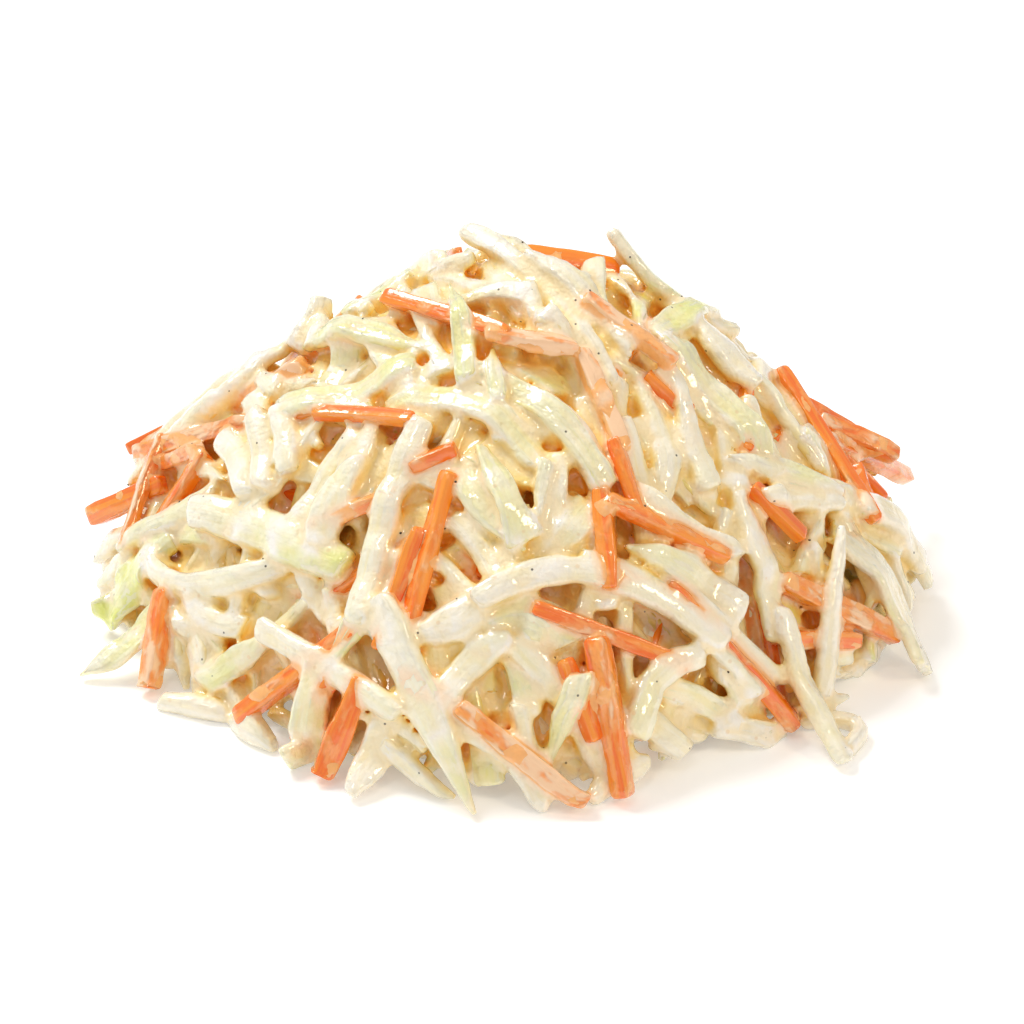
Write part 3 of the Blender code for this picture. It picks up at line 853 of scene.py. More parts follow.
def joined_mesh(name, bent):
    """One piece from many bent copies of their masters, with the attributes that its material reads."""
    points, sizes, corners, count = [], [], [], 0
    for shred in bent:
        master = shred["master"]
        points.append(shred["points"])
        sizes.append(master["sizes"])
        corners.append(master["corners"] + count)
        count += len(shred["points"])
    mesh = bpy.data.meshes.new(name)
    points, sizes, corners = (np.concatenate(part) for part in (points, sizes, corners))
    mesh.vertices.add(len(points))
    set_points(mesh, points)
    mesh.loops.add(len(corners))
    mesh.loops.foreach_set("vertex_index", corners)
    mesh.polygons.add(len(sizes))
    mesh.polygons.foreach_set("loop_start", np.concatenate([[0], np.cumsum(sizes)[:-1]]))
    mesh.update(calc_edges=True)
    mesh.validate()
    strand = np.concatenate([shred["strand"] for shred in bent]).astype(np.float32)
    mesh.attributes.new("strand", "FLOAT_VECTOR", "POINT").data.foreach_set("vector", strand.ravel())
    for label in ("green", "wet"):
        store_floats(mesh, label, np.concatenate([shred[label] for shred in bent]))
    mesh.shade_smooth()
    piece = bpy.data.objects.new(name, mesh)
    bpy.context.scene.collection.objects.link(piece)
    return piece


def read_rows(items, field, width, kind=np.float32):
    """One field of all of a mesh's points, edges or stored values, as rows that are so many numbers wide."""
    values = np.empty(len(items) * width, kind)
    items.foreach_get(field, values)
    return values.reshape(-1, width)


def mesh_points(mesh):
    """A mesh's points in millimetres."""
    return read_rows(mesh.vertices, "co", 3, np.float64) / MM


def set_points(mesh, points):
    """Moves a mesh's points to places in millimetres."""
    mesh.vertices.foreach_set("co", (points * MM).ravel())


def mesh_normals(mesh):
    """The direction straight out of the mesh at each of its points."""
    return read_rows(mesh.vertices, "normal", 3)


def mesh_edges(mesh):
    """The two ends of every edge."""
    return read_rows(mesh.edges, "vertices", 2, np.int64).T


def neighbour_mean(values, one, two):
    """The mean of each point's value and those of its neighbours along the edges."""
    count = len(values)
    total = np.bincount(one, values[two], count) + np.bincount(two, values[one], count) + values
    return total / (np.bincount(one, minlength=count) + np.bincount(two, minlength=count) + 1)


def store_floats(mesh, label, values):
    """Stores one number on each of the mesh's points under that name."""
    mesh.attributes.new(label, "FLOAT", "POINT").data.foreach_set("value", values.astype(np.float32))


def add_ridge(mesh, rounds=3):
    """Adds how far each point stands out of its neighbours: 1 on a ridge, 0.5 where flat, 0 in a fold; the
    dressing's painted highlight follows it.
    """
    points = mesh_points(mesh)
    one, two = mesh_edges(mesh)
    spread = points
    for _ in range(rounds):
        spread = np.stack([neighbour_mean(spread[:, axis], one, two) for axis in range(3)], 1)
    out = ((points - spread) * mesh_normals(mesh)).sum(1)
    store_floats(mesh, "ridge", np.clip(0.5 + out * RIDGE_CONTRAST, 0, 1))


def core_object():
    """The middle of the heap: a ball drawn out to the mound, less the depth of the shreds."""
    select_only()
    bpy.ops.mesh.primitive_uv_sphere_add(segments=CORE_SEGMENTS, ring_count=CORE_RINGS, radius=1.0)
    core = bpy.context.object
    mesh = core.data
    ball = mesh_points(mesh) * MM
    x, y, z = ball.T
    plan = ball[:, :2] * base_radius(np.arctan2(y, x))[:, None]
    surface = np.column_stack([plan, np.where(z < 0, CORE_BELOW * z, mound_height(*plan.T))])
    length = np.linalg.norm(surface, axis=1)
    lumps = CORE_LUMPS * ripple(surface, CORE_LUMP_LENGTH, 5)
    share = np.maximum(length - CORE_DEPTH + lumps, 1) / np.maximum(length, NEARLY_NONE)
    set_points(mesh, surface * share[:, None])
    return core


def clot_objects():
    """Clots of dressing, as balls that the skin of dressing then draws in."""
    made = []
    for x, y, rise, radius in CLOTS:
        place = Vector((x, y, float(mound_height(x, y)) + rise)) * MM
        select_only()
        bpy.ops.mesh.primitive_ico_sphere_add(subdivisions=2, radius=radius * MM, location=place)
        bpy.context.object.scale = CLOT_SHAPE
        bpy.ops.object.transform_apply(location=True, rotation=True, scale=True)
        made.append(bpy.context.object)
    return made


def coated_mesh(mesh, coat):
    """A copy of a mesh, thicker where dressing coats it and thinner where it stays bare."""
    coated = mesh.copy()
    points = mesh_points(mesh)
    wet = read_rows(mesh.attributes["wet"].data, "value", 1)[:, 0]
    patches = unevenness(points, **PATCH_WAVES)
    thickness = coat["depth"] + coat["wet"] * (wet - 1) + coat["patches"] * patches
    set_points(coated, points + mesh_normals(mesh) * thickness[:, None])
    return coated


def closing_group(reach):
    """A node group that draws a skin over a mesh: out by that reach, then back in by as much."""
    group, start, end = mesh_group("draw_skin")
    last = start.outputs[0]
    for offset in (reach, -reach):
        grid = group.nodes.new("GeometryNodeMeshToSDFGrid")
        set_inputs(grid, Voxel_Size=SKIN_VOXEL * MM, Band_Width=math.ceil(reach / SKIN_VOXEL) + 2)
        skin = group.nodes.new("GeometryNodeGridToMesh")
        set_inputs(skin, Threshold=offset * MM)
        group.links.new(last, grid.inputs[0])
        group.links.new(grid.outputs[0], skin.inputs[0])
        last = skin.outputs[0]
    group.links.new(last, end.inputs[0])
    return group


def add_even(mesh):
    """Adds where the fibres run on evenly: 1 along a shred, 0 where one shred meets another."""
    strand = read_rows(mesh.attributes["strand"].data, "vector", 3)
    one, two = mesh_edges(mesh)
    jump = np.linalg.norm(strand[one] - strand[two], axis=1) > STRAND_JUMP
    even = np.ones(len(strand))
    broken = np.concatenate([one[jump], two[jump]])
    even[broken] = 0
    for _ in range(2):
        even = neighbour_mean(even, one, two)
        even[broken] = 0
    store_floats(mesh, "even", even)


def apply_modifiers(piece):
    """Applies all of a piece's modifiers."""
    select_only(piece)
    for modifier in list(piece.modifiers):
        bpy.ops.object.modifier_apply(modifier=modifier.name)


def press_gaps(mesh):
    """Presses the deep gaps into the bed of shreds."""
    points = mesh_points(mesh)
    for x, y, radius, depth in GAPS:
        middle = np.array([[x, y, float(mound_height(x, y))]])
        out = outward(middle)
        away = points - middle
        height = away @ out[0]
        aside = np.linalg.norm(away - height[:, None] * out, axis=1)
        near = np.clip(2 - 2 * aside / radius, 0, 1)
        points -= out * (depth * near**2 * (3 - 2 * near) * (height > -depth - GAP_SPARES))[:, None]
    set_points(mesh, points)


def add_lumps(mesh):
    """Makes the bed lumpy, like chopped cabbage under its dressing."""
    points = mesh_points(mesh)
    lumps = unevenness(points, **BED_WAVES)
    set_points(mesh, points + mesh_normals(mesh) * (BED_LUMPS * lumps)[:, None])


def draw_skin(name, parts, reach):
    """One closed skin drawn over all the parts, which are used up."""
    select_only(*parts)
    bpy.ops.object.join()
    drawn = bpy.context.object
    drawn.name = name
    drawn.data.name = name
    drawn.modifiers.new("skin", "NODES").node_group = closing_group(reach)
    apply_modifiers(drawn)
    return drawn


def coated_part(name, bent, kind):
    """A stand-in for the shreds of one kind, thicker where dressing coats them."""
    part = joined_mesh(name, bent)
    part.data = coated_mesh(part.data, COAT[kind])
    return part


def dressing_piece(shreds, pieces):
    """The dressing: a bed that fills the heap under its outer shreds, and a coat drawn over them all."""
    coated = {"under": [], "top": []}
    for layer, parts in coated.items():
        for kind in COAT:
            bent = [shred for shred in shreds if shred["layer"] == layer and shred["kind"] == kind]
            parts.append(coated_part(layer, bent, kind))
    bed = draw_skin("bed", [core_object(), *coated["under"]], BED_REACH)
    press_gaps(bed.data)
    add_lumps(bed.data)
    dressing = draw_skin("dressing", [bed, *clot_objects(), *coated["top"]], COAT_REACH)
    edit_all(dressing)
    bpy.ops.mesh.bisect(plane_co=(0, 0, 0), plane_no=(0, 0, 1), use_fill=True, clear_inner=True)
    bpy.ops.object.mode_set(mode="OBJECT")
    faces = sum(len(face.vertices) - 2 for face in dressing.data.polygons)
    thin = dressing.modifiers.new("thin_out", "DECIMATE")
    thin.ratio = min(1.0, SKIN_TRIANGLES / faces)
    apply_modifiers(dressing)
    add_ridge(dressing.data)
    dressing.modifiers.new("covering", "NODES").node_group = cover_group(pieces[:2], pieces[2:])
    apply_modifiers(dressing)
    add_even(dressing.data)
    dressing.data.shade_smooth()
    return dressing


def vector_value(group, operation, first, second):
    """The result of a Vector Math node on sockets or vectors."""
    made = make_node(group, "ShaderNodeVectorMath", operation=operation)
    for socket, value in zip(made.inputs, (first, second)):
        if isinstance(value, tuple):
            socket.default_value = value
        else:
            group.links.new(value, socket)
    return made.outputs["Value" if operation == "DOT_PRODUCT" else "Vector"]


def mesh_group(name):
    """A node group that takes a mesh and gives it back, and its two end nodes."""
    group = bpy.data.node_groups.new(name, "GeometryNodeTree")
    group.interface.new_socket("Geometry", in_out="INPUT", socket_type="NodeSocketGeometry")
    group.interface.new_socket("Geometry", in_out="OUTPUT", socket_type="NodeSocketGeometry")
    return group, group.nodes.new("NodeGroupInput"), group.nodes.new("NodeGroupOutput")


def heap_of(group, pieces):
    """The meshes of some pieces, as one."""
    joined = group.nodes.new("GeometryNodeJoinGeometry")
    for piece in pieces:
        taken = group.nodes.new("GeometryNodeObjectInfo")
        taken.inputs["Object"].default_value = piece
        group.links.new(taken.outputs["Geometry"], joined.inputs[0])
    return joined.outputs[0]


def stored(group, mesh, label, value, kind="FLOAT"):
    """The mesh with a value stored on each of its points under that name."""
    store = make_node(group, "GeometryNodeStoreNamedAttribute", data_type=kind)
    store.inputs["Name"].default_value = label
    group.links.new(mesh, store.inputs["Geometry"])
    group.links.new(value, store.inputs["Value"])
    return store.outputs[0]


def cover_value(group, target, spread):
    """1 right on the target's surface, and less over that many millimetres."""
    gap = make_node(group, "GeometryNodeProximity", target_element="FACES")
    group.links.new(target, gap.inputs[0])
    share = math_value(group, "DIVIDE", gap.outputs["Distance"], spread * MM)
    bent = product(group, math_value(group, "POWER", share, 1.5), -1.0)
    return math_value(group, "EXPONENT", bent)


def cover_group(cabbage, carrots):
    """A node group that stores how thinly the dressing covers the shreds, and what shows through it."""
    group, start, end = mesh_group("covering")
    leaves = heap_of(group, cabbage)
    mesh = stored(group, start.outputs[0], "film", cover_value(group, leaves, FILM))
    mesh = stored(group, mesh, "pink", cover_value(group, heap_of(group, carrots), PINK_FILM))
    for label, kind in (("strand", "FLOAT_VECTOR"), ("green", "FLOAT")):
        named = make_node(group, "GeometryNodeInputNamedAttribute", data_type=kind)
        named.inputs["Name"].default_value = label
        nearest = make_node(group, "GeometryNodeSampleNearestSurface", data_type=kind)
        group.links.new(leaves, nearest.inputs["Mesh"])
        group.links.new(named.outputs[0], nearest.inputs["Value"])
        value = nearest.outputs["Value"]
        if kind == "FLOAT":
            value = product(group, value, cover_value(group, leaves, GREEN_FILM))
        mesh = stored(group, mesh, label, value, kind)
    group.links.new(mesh, end.inputs[0])
    return group


def open_group(whole):
    """A node group that stores how open each point lies: rays sent out until they meet the heap."""
    group, start, end = mesh_group("openness")
    target = heap_of(group, [whole])
    place = group.nodes.new("GeometryNodeInputPosition").outputs[0]
    normal = group.nodes.new("GeometryNodeInputNormal").outputs[0]
    lift = vector_value(group, "MULTIPLY", normal, (OPEN_START * MM,) * 3)
    clear = vector_value(group, "ADD", place, lift)
    total = None
    for number in range(OPEN_RAYS):
        spread = make_node(group, "FunctionNodeRandomValue", data_type="FLOAT_VECTOR")
        set_inputs(spread, Min=(-1, -1, -1), Max=(1, 1, 1), Seed=number)
        unit = vector_value(group, "NORMALIZE", spread.outputs[0], (0, 0, 0))
        heading = vector_value(group, "ADD", normal, unit)
        ray = group.nodes.new("GeometryNodeRaycast")
        group.links.new(target, ray.inputs["Target Geometry"])
        group.links.new(clear, ray.inputs["Source Position"])
        group.links.new(heading, ray.inputs["Ray Direction"])
        ray.inputs["Ray Length"].default_value = OPEN_LENGTH * MM
        facing = vector_value(group, "DOT_PRODUCT", ray.outputs["Hit Normal"], heading)
        outside = math_value(group, "LESS_THAN", facing, 0.0)
        far = math_value(group, "DIVIDE", ray.outputs["Hit Distance"], OPEN_LENGTH * MM)
        near = math_value(group, "SUBTRACT", 1.0, far)
        met = product(group, product(group, near, outside), ray.outputs["Is Hit"])
        total = met if total is None else added(group, total, met)
    blur = group.nodes.new("GeometryNodeBlurAttribute")
    blur.inputs["Iterations"].default_value = OPEN_BLURS
    shut = math_value(group, "DIVIDE", total, OPEN_RAYS)
    group.links.new(math_value(group, "SUBTRACT", 1.0, shut), blur.inputs[0])
    group.links.new(stored(group, start.outputs[0], "open", blur.outputs[0]), end.inputs[0])
    return group


def add_open(pieces):
    """Adds to every piece how open each of its points lies: 1 out in the air, 0 in a shut gap."""
    select_only(*pieces)
    bpy.ops.object.duplicate()
    bpy.context.view_layer.objects.active = bpy.context.selected_objects[0]
    bpy.ops.object.join()
    whole = bpy.context.object
    group = open_group(whole)
    for piece in pieces:
        piece.modifiers.new("open", "NODES").node_group = group
        apply_modifiers(piece)
    bpy.data.objects.remove(whole)


def pepper_piece(dressing):
    """Crushed peppercorns: small angular grains stuck on the outside of the heap."""
    select_only()
    bpy.ops.mesh.primitive_ico_sphere_add(subdivisions=1, radius=1.0)
    grain = bpy.context.object
    edit_all(grain)
    bpy.ops.transform.vertex_random(offset=0.35, seed=3, normal=0.4)
    bpy.ops.object.mode_set(mode="OBJECT")
    shape = read_master(grain, ROUND)
    draw = np.random.default_rng(77)
    spots = mesh_points(dressing.data)
    outside = np.linalg.norm(spots, axis=1) > mound_reach(spots) - PEPPER_SUNK
    outer = np.flatnonzero((spots[:, 2] > PEPPER_ABOVE) & outside)
    bent = []
    for number, index in enumerate(draw.choice(outer, PEPPER_COUNT, replace=False)):
        size = draw.uniform(*PEPPER_SIZES) / 2
        turn = np.linalg.qr(draw.normal(size=(3, 3)))[0]
        turn *= np.sign(np.linalg.det(turn))
        points = spots[index] + shape["points"] * size @ turn.T
        strand = shape["points"] + number
        zero = np.zeros(len(points))
        bent.append({"master": shape, "points": points, "strand": strand, "green": zero, "wet": zero})
    return joined_mesh("pepper_grains", bent)


# ---------------------------------------------------------------------------- materials


def make_node(tree, kind, **values):
    """A node, with its own settings given by their names."""
    made = tree.nodes.new(kind)
    for label, value in values.items():
        setattr(made, label, value)
    return made


def set_inputs(node, **values):
    """Sets a node's sockets, given by their names with an underscore for each space."""
    for label, value in values.items():
        node.inputs[label.replace("_", " ")].default_value = value


def start_group(name, inputs, outputs):
    """An empty shader group with those sockets, and its two end nodes."""
    group = bpy.data.node_groups.new(name, "ShaderNodeTree")
    for label, kind in inputs.items():
        group.interface.new_socket(label, in_out="INPUT", socket_type=kind)
    for label, kind in outputs.items():
        group.interface.new_socket(label, in_out="OUTPUT", socket_type=kind)
    return group, group.nodes.new("NodeGroupInput"), group.nodes.new("NodeGroupOutput")


def noise_value(tree, vector, scale, detail=2.0, roughness=0.5, distortion=0.0):
    """The value of a noise texture read at that vector."""
    noise = make_node(tree, "ShaderNodeTexNoise", noise_dimensions="3D")
    set_inputs(noise, Scale=scale, Detail=detail, Roughness=roughness, Distortion=distortion)
    tree.links.new(vector, noise.inputs["Vector"])
    return noise.outputs["Fac"]


def math_value(tree, operation, first, second=None):
    """The result of a Math node on sockets or numbers."""
    made = make_node(tree, "ShaderNodeMath", operation=operation)
    for socket, value in zip(made.inputs, (first, second)):
        if isinstance(value, (int, float)):
            socket.default_value = value
        elif value is not None:
            tree.links.new(value, socket)
    return made.outputs[0]


def product(tree, first, second):
    """Two sockets or numbers multiplied."""
    return math_value(tree, "MULTIPLY", first, second)


def added(tree, first, second):
    """Two sockets or numbers added."""
    return math_value(tree, "ADD", first, second)


def ramp_value(tree, value, low, high, bottom=0.0, top=1.0):
    """A value spread smoothly so that low becomes bottom and high becomes top."""
    made = make_node(tree, "ShaderNodeMapRange", interpolation_type="SMOOTHSTEP")
    set_inputs(made, From_Min=low, From_Max=high, To_Min=bottom, To_Max=top)
    tree.links.new(value, made.inputs["Value"])
    return made.outputs["Result"]


def stretched(tree, vector, scale):
    """A vector with each of its directions scaled."""
    made = make_node(tree, "ShaderNodeVectorMath", operation="MULTIPLY")
    made.inputs[1].default_value = scale
    tree.links.new(vector, made.inputs[0])
    return made.outputs[0]


def mixed(tree, amount, first, second, blend="MIX"):
    """Two colours mixed by an amount."""
    made = make_node(tree, "ShaderNodeMix", data_type="RGBA", blend_type=blend)
    for socket, value in zip((made.inputs[0], made.inputs[6], made.inputs[7]), (amount, first, second)):
        if isinstance(value, (int, float)):
            socket.default_value = value
        elif isinstance(value, tuple):
            socket.default_value = (*value, 1)
        else:
            tree.links.new(value, socket)
    return made.outputs[2]


def fibre_group():
    """Long fibres that run with a shred: a fine grain and a few broad veins."""
    group, start, end = start_group("fibres", {"Strand": VECTOR}, {"Grain": FLOAT, "Veins": FLOAT})
    fine = stretched(group, start.outputs[0], (0.10, 2.4, 1.0))
    broad = stretched(group, start.outputs[0], (0.05, 0.85, 0.4))
    group.links.new(noise_value(group, fine, 1.0, 3, 0.55, 0.2), end.inputs["Grain"])
    veins = noise_value(group, broad, 1.0, 2, 0.5, 0.3)
    group.links.new(ramp_value(group, veins, 0.38, 0.66), end.inputs["Veins"])
    return group


def smear_group():
    """Where dressing clings to a shred: streaks and blots, more of them where it is wetter."""
    inputs = {"Strand": VECTOR, "Wet": FLOAT}
    group, start, end = start_group("smears", inputs, {"Mask": FLOAT, "Thickness": FLOAT})
    streaks = noise_value(group, stretched(group, start.outputs[0], (0.16, 0.42, 0.42)), 1.0, 2, 0.5, 0.3)
    blots = noise_value(group, stretched(group, start.outputs[0], (0.42, 0.60, 0.60)), 1.0, 2, 0.5, 0.3)
    both = added(group, product(group, streaks, 0.6), product(group, blots, 0.4))
    wetter = product(group, math_value(group, "SUBTRACT", start.outputs[1], 0.62), 0.24)
    level = added(group, both, wetter)
    group.links.new(ramp_value(group, level, 0.44, 0.56), end.inputs["Mask"])
    group.links.new(ramp_value(group, level, 0.44, 0.72), end.inputs["Thickness"])
    return group


def relief_group():
    """The soft uneven surface of the dressing, in soft lumps and small beads."""
    group, start, end = start_group("relief", {"Place": VECTOR}, {"Height": FLOAT})
    lumps = noise_value(group, start.outputs[0], LUMP_SCALE, 2, 0.5, 0.3)
    beads = noise_value(group, start.outputs[0], BEAD_SCALE, 2, 0.5)
    both = added(group, product(group, lumps, 0.78), product(group, beads, 0.22))
    group.links.new(both, end.inputs["Height"])
    return group


def spice_group():
    """Fine dark dust of pepper and small pale-brown flecks in the dressing."""
    group, start, end = start_group("spice", {"Place": VECTOR}, {"Dark": FLOAT, "Warm": FLOAT})
    for label, (scale, size, share) in FLECKS.items():
        cells = make_node(group, "ShaderNodeTexVoronoi", feature="F1")
        cells.inputs["Scale"].default_value = scale
        group.links.new(start.outputs[0], cells.inputs["Vector"])
        spot = ramp_value(group, cells.outputs["Distance"], size, size * 0.5)
        pick = make_node(group, "ShaderNodeSeparateColor")
        group.links.new(cells.outputs["Color"], pick.inputs[0])
        chosen = math_value(group, "GREATER_THAN", pick.outputs[0], share)
        group.links.new(product(group, spot, chosen), end.inputs[label])
    return group


def place_group(tree, group, **links):
    """An instance of a group, fed by the sockets given."""
    made = make_node(tree, "ShaderNodeGroup", node_tree=group)
    for label, socket in links.items():
        tree.links.new(socket, made.inputs[label])
    return made


def attribute(tree, name, output="Fac"):
    """The value that each point of the piece carries under that name."""
    return make_node(tree, "ShaderNodeAttribute", attribute_name=name).outputs[output]


def object_place(tree):
    """Places in the piece's own frame, in metres."""
    return make_node(tree, "ShaderNodeTexCoord").outputs["Object"]


def start_material(name):
    """A material with only its shader in it."""
    material = bpy.data.materials.new(name)
    material.use_nodes = True
    return material, material.node_tree, material.node_tree.nodes["Principled BSDF"]


def set_wet(shader, subsurface, radius):
    """The values that a wet, translucent food has all over."""
    shader.subsurface_method = "BURLEY"
    set_inputs(shader, Subsurface_Weight=subsurface, Subsurface_Radius=radius, Subsurface_Scale=SOAK_DEPTH)
    set_inputs(shader, IOR=1.42, Coat_Weight=WET_COAT, Coat_Roughness=0.07, Coat_IOR=1.7)


def add_bump(tree, shader, height, distance):
    """Relief of that depth in metres on the shader's normal, and a gentler one on the film over it."""
    lumps = noise_value(tree, object_place(tree), LUMP_SCALE, 2, 0.5, 0.3)
    film_depth = distance * FILM_RELIEF
    for socket, level, depth in (("Normal", height, distance), ("Coat Normal", lumps, film_depth)):
        bump = make_node(tree, "ShaderNodeBump")
        bump.inputs["Distance"].default_value = depth
        tree.links.new(level, bump.inputs["Height"])
        tree.links.new(bump.outputs["Normal"], shader.inputs[socket])


def painted_shade(tree, color, amount=1.0):
    """A colour painted warmer where it lies in shade, and painted brown-orange in the gaps: painted shade, by
    how open each point lies.
    """
    lie = attribute(tree, "open")
    shaded = mixed(tree, ramp_value(tree, lie, 1.00, 0.50, 0.0, amount), color, SHADE_TINT, "MULTIPLY")
    return mixed(tree, ramp_value(tree, lie, 0.70, 0.28, 0.0, amount), shaded, DEEP_SHADE_TINT, "MULTIPLY")


def cabbage_material(name, groups, colors):
    """Cabbage: pale flesh with veins, a green part, and dressing smeared over it."""
    material, tree, shader = start_material(name)
    strand = attribute(tree, "strand", "Vector")
    fibres = place_group(tree, groups["fibres"], Strand=strand)
    smears = place_group(tree, groups["smears"], Strand=strand, Wet=attribute(tree, "wet"))
    relief = place_group(tree, groups["relief"], Place=object_place(tree))
    spice = place_group(tree, groups["spice"], Place=object_place(tree))
    flesh = mixed(tree, fibres.outputs["Veins"], colors["flesh"], colors["vein"])
    uneven = ramp_value(tree, noise_value(tree, strand, 0.16, 3, 0.6), 0.30, 0.66, 0.25, 1.1)
    greener = product(tree, attribute(tree, "green"), uneven)
    flesh = mixed(tree, greener, flesh, colors["green"])
    coated = mixed(tree, product(tree, smears.outputs["Mask"], 0.45), flesh, SMEAR_COLOR)
    coated = mixed(tree, product(tree, spice.outputs["Warm"], 0.25), coated, WARM_FLECK)
    coated = mixed(tree, product(tree, spice.outputs["Dark"], 0.85), coated, DARK_FLECK)
    # Painted shade: warmer and browner where the cabbage lies less open.
    tree.links.new(painted_shade(tree, coated), shader.inputs["Base Color"])
    rough = ramp_value(tree, smears.outputs["Thickness"], 0.0, 1.0, 0.34, 0.20)
    tree.links.new(rough, shader.inputs["Roughness"])
    height = added(tree, relief.outputs["Height"], product(tree, fibres.outputs["Grain"], 0.12))
    height = added(tree, height, product(tree, smears.outputs["Thickness"], 0.35))
    add_bump(tree, shader, height, SHRED_RELIEF)
    set_wet(shader, MILKY, SOAK["cabbage"])
    return material


def carrot_material(groups):
    """Carrot: glossy orange with a fibrous grain, pinkish where dressing lies over it."""
    material, tree, shader = start_material("carrot_orange")
    strand = attribute(tree, "strand", "Vector")
    fibres = place_group(tree, groups["fibres"], Strand=strand)
    smears = place_group(tree, groups["smears"], Strand=strand, Wet=attribute(tree, "wet"))
    relief = place_group(tree, groups["relief"], Place=object_place(tree))
    flesh = mixed(tree, fibres.outputs["Veins"], CARROT["flesh"], CARROT["vein"])
    grain = ramp_value(tree, fibres.outputs["Grain"], 0.45, 0.75, 0.0, 0.30)
    flesh = mixed(tree, grain, flesh, CARROT["grain"])
    thin = mixed(tree, product(tree, smears.outputs["Mask"], 0.60), flesh, CARROT["thin"])
    cover = ramp_value(tree, smears.outputs["Thickness"], 0.35, 0.90, 0.0, 0.90)
    thick = mixed(tree, cover, thin, CARROT["thick"])
    # Painted shade, at a little over half strength, where the carrot lies less open.
    tree.links.new(painted_shade(tree, thick, 0.55), shader.inputs["Base Color"])
    rough = ramp_value(tree, smears.outputs["Mask"], 0.0, 1.0, 0.22, 0.32)
    tree.links.new(rough, shader.inputs["Roughness"])
    height = product(tree, relief.outputs["Height"], 0.5)
    height = added(tree, height, product(tree, smears.outputs["Thickness"], 0.9))
    height = added(tree, height, product(tree, fibres.outputs["Grain"], 0.30))
    add_bump(tree, shader, height, SHRED_RELIEF)
    set_wet(shader, 0.0, SOAK["carrot"])
    return material


def pepper_material():
    """Pepper: nearly black husk, brown where it is crushed."""
    material, tree, shader = start_material("pepper_black")
    speckle = noise_value(tree, attribute(tree, "strand", "Vector"), 1.5, 3, 0.6)
    tone = mixed(tree, ramp_value(tree, speckle, 0.45, 0.7), PEPPER["husk"], PEPPER["kernel"])
    tree.links.new(tone, shader.inputs["Base Color"])
    tree.links.new(ramp_value(tree, speckle, 0.3, 0.7, 0.4, 0.75), shader.inputs["Roughness"])
    return material


def dressing_material(groups):
    """Dressing: warm cream, pinkish over the carrots, with the cabbage showing through where it is thin."""
    material, tree, shader = start_material("dressing_cream")
    place = object_place(tree)
    strand = attribute(tree, "strand", "Vector")
    relief = place_group(tree, groups["relief"], Place=place)
    spice = place_group(tree, groups["spice"], Place=place)
    fibres = place_group(tree, groups["fibres"], Strand=strand)
    cloudy = ramp_value(tree, noise_value(tree, place, 160, 3, 0.6), 0.35, 0.65)
    cream = mixed(tree, cloudy, DRESSING["cream"], DRESSING["cloudy"])
    # Painted highlight: whiter where the surface stands out as a ridge.
    cream = mixed(tree, ramp_value(tree, attribute(tree, "ridge"), 0.45, 0.85), cream, DRESSING["ridge"])
    flesh = mixed(tree, fibres.outputs["Veins"], DRESSING["flesh"], DRESSING["vein"])
    film = product(tree, attribute(tree, "film"), attribute(tree, "even"))
    cream = mixed(tree, film, cream, flesh)
    uneven = ramp_value(tree, noise_value(tree, strand, 0.16, 3, 0.6), 0.30, 0.66, 0.25, 1.1)
    leafy = product(tree, attribute(tree, "green"), uneven)
    leafy = product(tree, leafy, attribute(tree, "even"))
    # More painted highlight on the points that stand out most.
    high = ramp_value(tree, attribute(tree, "ridge"), 0.50, 0.95, 0.0, 0.35)
    cream = mixed(tree, high, cream, DRESSING["ridge"])
    cream = mixed(tree, leafy, cream, DRESSING["green"])
    pink = attribute(tree, "pink")
    cream = mixed(tree, ramp_value(tree, pink, 0.05, 0.60, 0.0, 0.9), cream, DRESSING["pink"])
    cream = mixed(tree, ramp_value(tree, pink, 0.60, 0.97), cream, DRESSING["orange"])
    cream = mixed(tree, product(tree, spice.outputs["Warm"], 0.35), cream, WARM_FLECK)
    cream = mixed(tree, product(tree, spice.outputs["Dark"], 0.9), cream, DARK_FLECK)
    # Painted shade on the dressing, weaker where it lies over carrots.
    deep = mixed(tree, product(tree, pink, 0.6), painted_shade(tree, cream), cream)
    tree.links.new(deep, shader.inputs["Base Color"])
    tree.links.new(ramp_value(tree, cloudy, 0.0, 1.0, 0.30, 0.42), shader.inputs["Roughness"])
    grain = product(tree, product(tree, fibres.outputs["Grain"], film), 0.15)
    add_bump(tree, shader, added(tree, relief.outputs["Height"], grain), DRESSING_RELIEF)
    set_wet(shader, MILKY, SOAK["dressing"])
    return material


# ---------------------------------------------------------------------------- light and camera


def add_area(name, place, aim, size, watts, color):
    """A soft square light that shines at the aim."""
    data = bpy.data.lights.new(name, "AREA")
    data.shape = "SQUARE"
    data.size = size
    data.energy = watts
    data.color = color
    light = bpy.data.objects.new(name, data)
    light.location = place
    light.rotation_mode = "QUATERNION"
    light.rotation_quaternion = (Vector(aim) - Vector(place)).to_track_quat("-Z", "Y")
    bpy.context.scene.collection.objects.link(light)


def set_stage():
    """A plain white floor, soft light from all round, and a soft key from the upper left."""
    select_only()
    bpy.ops.mesh.primitive_plane_add(size=FLOOR_SIZE, location=(0, 0, 0))
    floor = bpy.context.object
    floor.name = "floor"
    material, _, shader = start_material("white_floor")
    set_inputs(shader, Base_Color=(FLOOR_WHITE, FLOOR_WHITE, FLOOR_WHITE, 1), Roughness=0.8)
    set_inputs(shader, Emission_Color=WHITE, Emission_Strength=FLOOR_GLOW)
    floor.data.materials.append(material)
    world = bpy.data.worlds.new("studio")
    world.use_nodes = True
    set_inputs(world.node_tree.nodes["Background"], Color=WHITE, Strength=ROOM_LIGHT)
    bpy.context.scene.world = world
    for name, (place, size, watts, color) in LIGHTS.items():
        add_area(name, place, LIT_PLACE, size, watts, color)
    bpy.context.scene.view_settings.view_transform = "Standard"


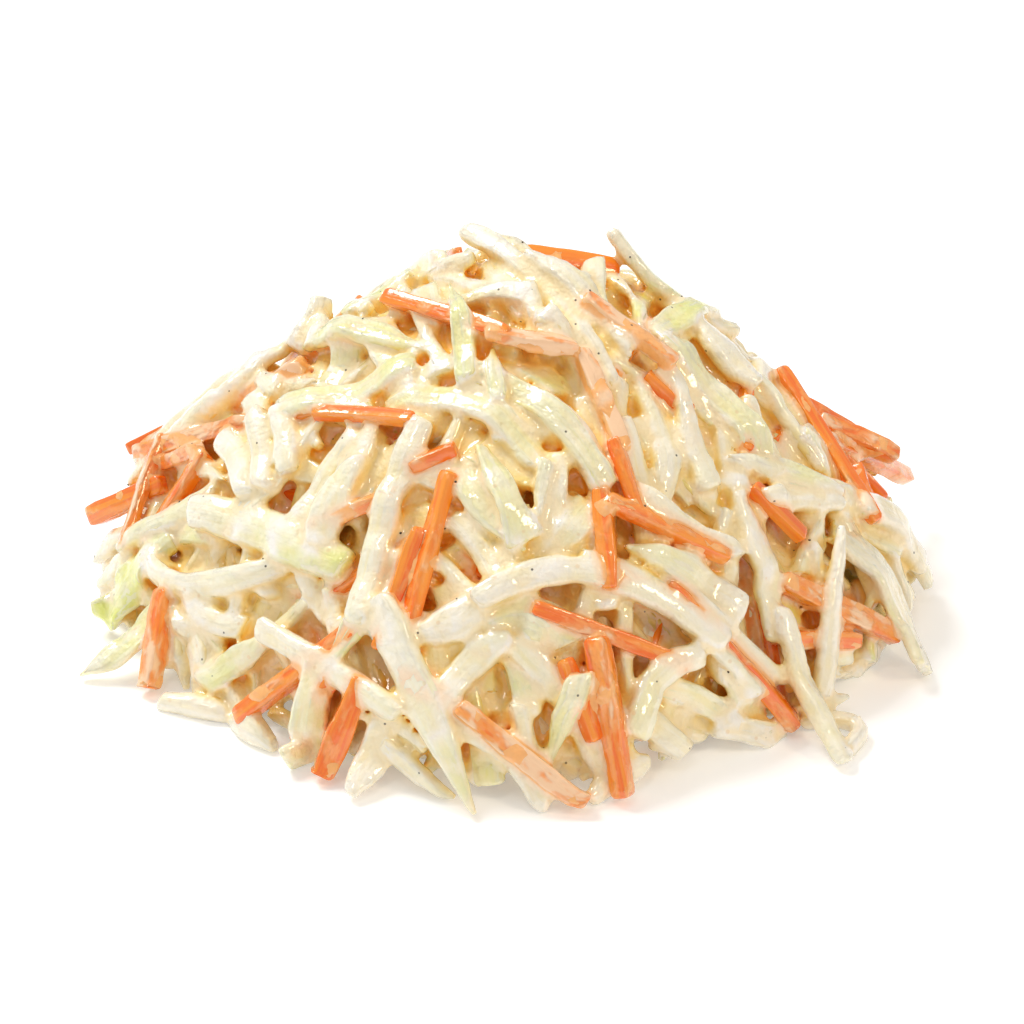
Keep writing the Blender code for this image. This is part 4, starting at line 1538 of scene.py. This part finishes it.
def set_camera():
    """The camera, in front of the heap and above it."""
    tilt = math.radians(CAMERA_TILT)
    back = Vector((0, -math.cos(tilt), math.sin(tilt)))
    data = bpy.data.cameras.new("camera")
    data.sensor_width = CAMERA_SENSOR
    data.lens = CAMERA_SENSOR * CAMERA_DISTANCE / VIEW_WIDTH
    camera = bpy.data.objects.new("camera", data)
    camera.location = Vector(CAMERA_AIM) + back * CAMERA_DISTANCE
    camera.rotation_mode = "QUATERNION"
    camera.rotation_quaternion = (-back).to_track_quat("-Z", "Y")
    bpy.context.scene.collection.objects.link(camera)
    bpy.context.scene.camera = camera


# ---------------------------------------------------------------------------- the serving


def lay_all(skin, masters):
    """Every shred, bent into place: the layers laid by rule, then the back, then the front, then the listed
    shreds.

    The crumbs are laid with the bed, but they are coated with the shreds that show.
    """
    shreds = []
    for layer in LAYERS:
        shreds += rule_layer(layer="under", **layer)
    shreds += rule_layer(layer="top", sunk=0.0, keep=on_the_back, **BACK)
    shreds += rule_layer(layer="top", sunk=0.0, keep=in_the_front, **FRONT)
    for shred in shreds:
        shred["cut"] = "middling" if shred["layer"] == "top" else "plain"
    shreds += hand_laid()
    for shred in shreds:
        shred["master"] = masters[shred["kind"], shred.get("cut", "fine")]
        shred.update(bend_shred(shred, skin, shred["master"]))
        if shred["sunk"] == CRUMBS["sunk"]:
            shred["layer"] = "top"
    return shreds


def main():
    """The whole serving: its pieces and their materials, then the light and the camera."""
    masters = {}
    for cut, (sides, steps, ends, carrot_steps) in CUTS.items():
        for kind in ("rib", "leaf"):
            masters[kind, cut] = read_master(bar_master(kind, sides, steps, ends), SQUARENESS[kind])
        masters["carrot", cut] = read_master(carrot_master("carrot", carrot_steps), SQUARENESS["carrot"])
    skin = Skin()
    shreds = lay_all(skin, masters)
    names = {"rib": "cabbage_ribs", "leaf": "cabbage_leaves", "carrot": "carrot_sticks"}
    pieces = []
    for kind, name in names.items():
        bent = [shred for shred in shreds if shred["kind"] == kind]
        pieces.append(joined_mesh(name, bent))
    dressing = dressing_piece(shreds, pieces)
    add_open([*pieces, dressing])
    pepper = pepper_piece(dressing)
    groups = {
        "fibres": fibre_group(),
        "smears": smear_group(),
        "relief": relief_group(),
        "spice": spice_group(),
    }
    white = cabbage_material("cabbage_white", groups, WHITE_CABBAGE)
    green = cabbage_material("cabbage_green", groups, GREEN_CABBAGE)
    looks = {
        "cabbage_ribs": ("cabbage", white),
        "cabbage_leaves": ("leaf", green),
        "carrot_sticks": ("carrot", carrot_material(groups)),
        "dressing": ("dressing", dressing_material(groups)),
        "pepper_grains": ("pepper", pepper_material()),
    }
    for piece in [*pieces, dressing, pepper]:
        slot, material = looks[piece.name]
        piece.data.materials.clear()
        piece.data.materials.append(material)
        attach(piece, "root")
    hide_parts(HEAP_NODE)
    set_stage()
    set_camera()


main()
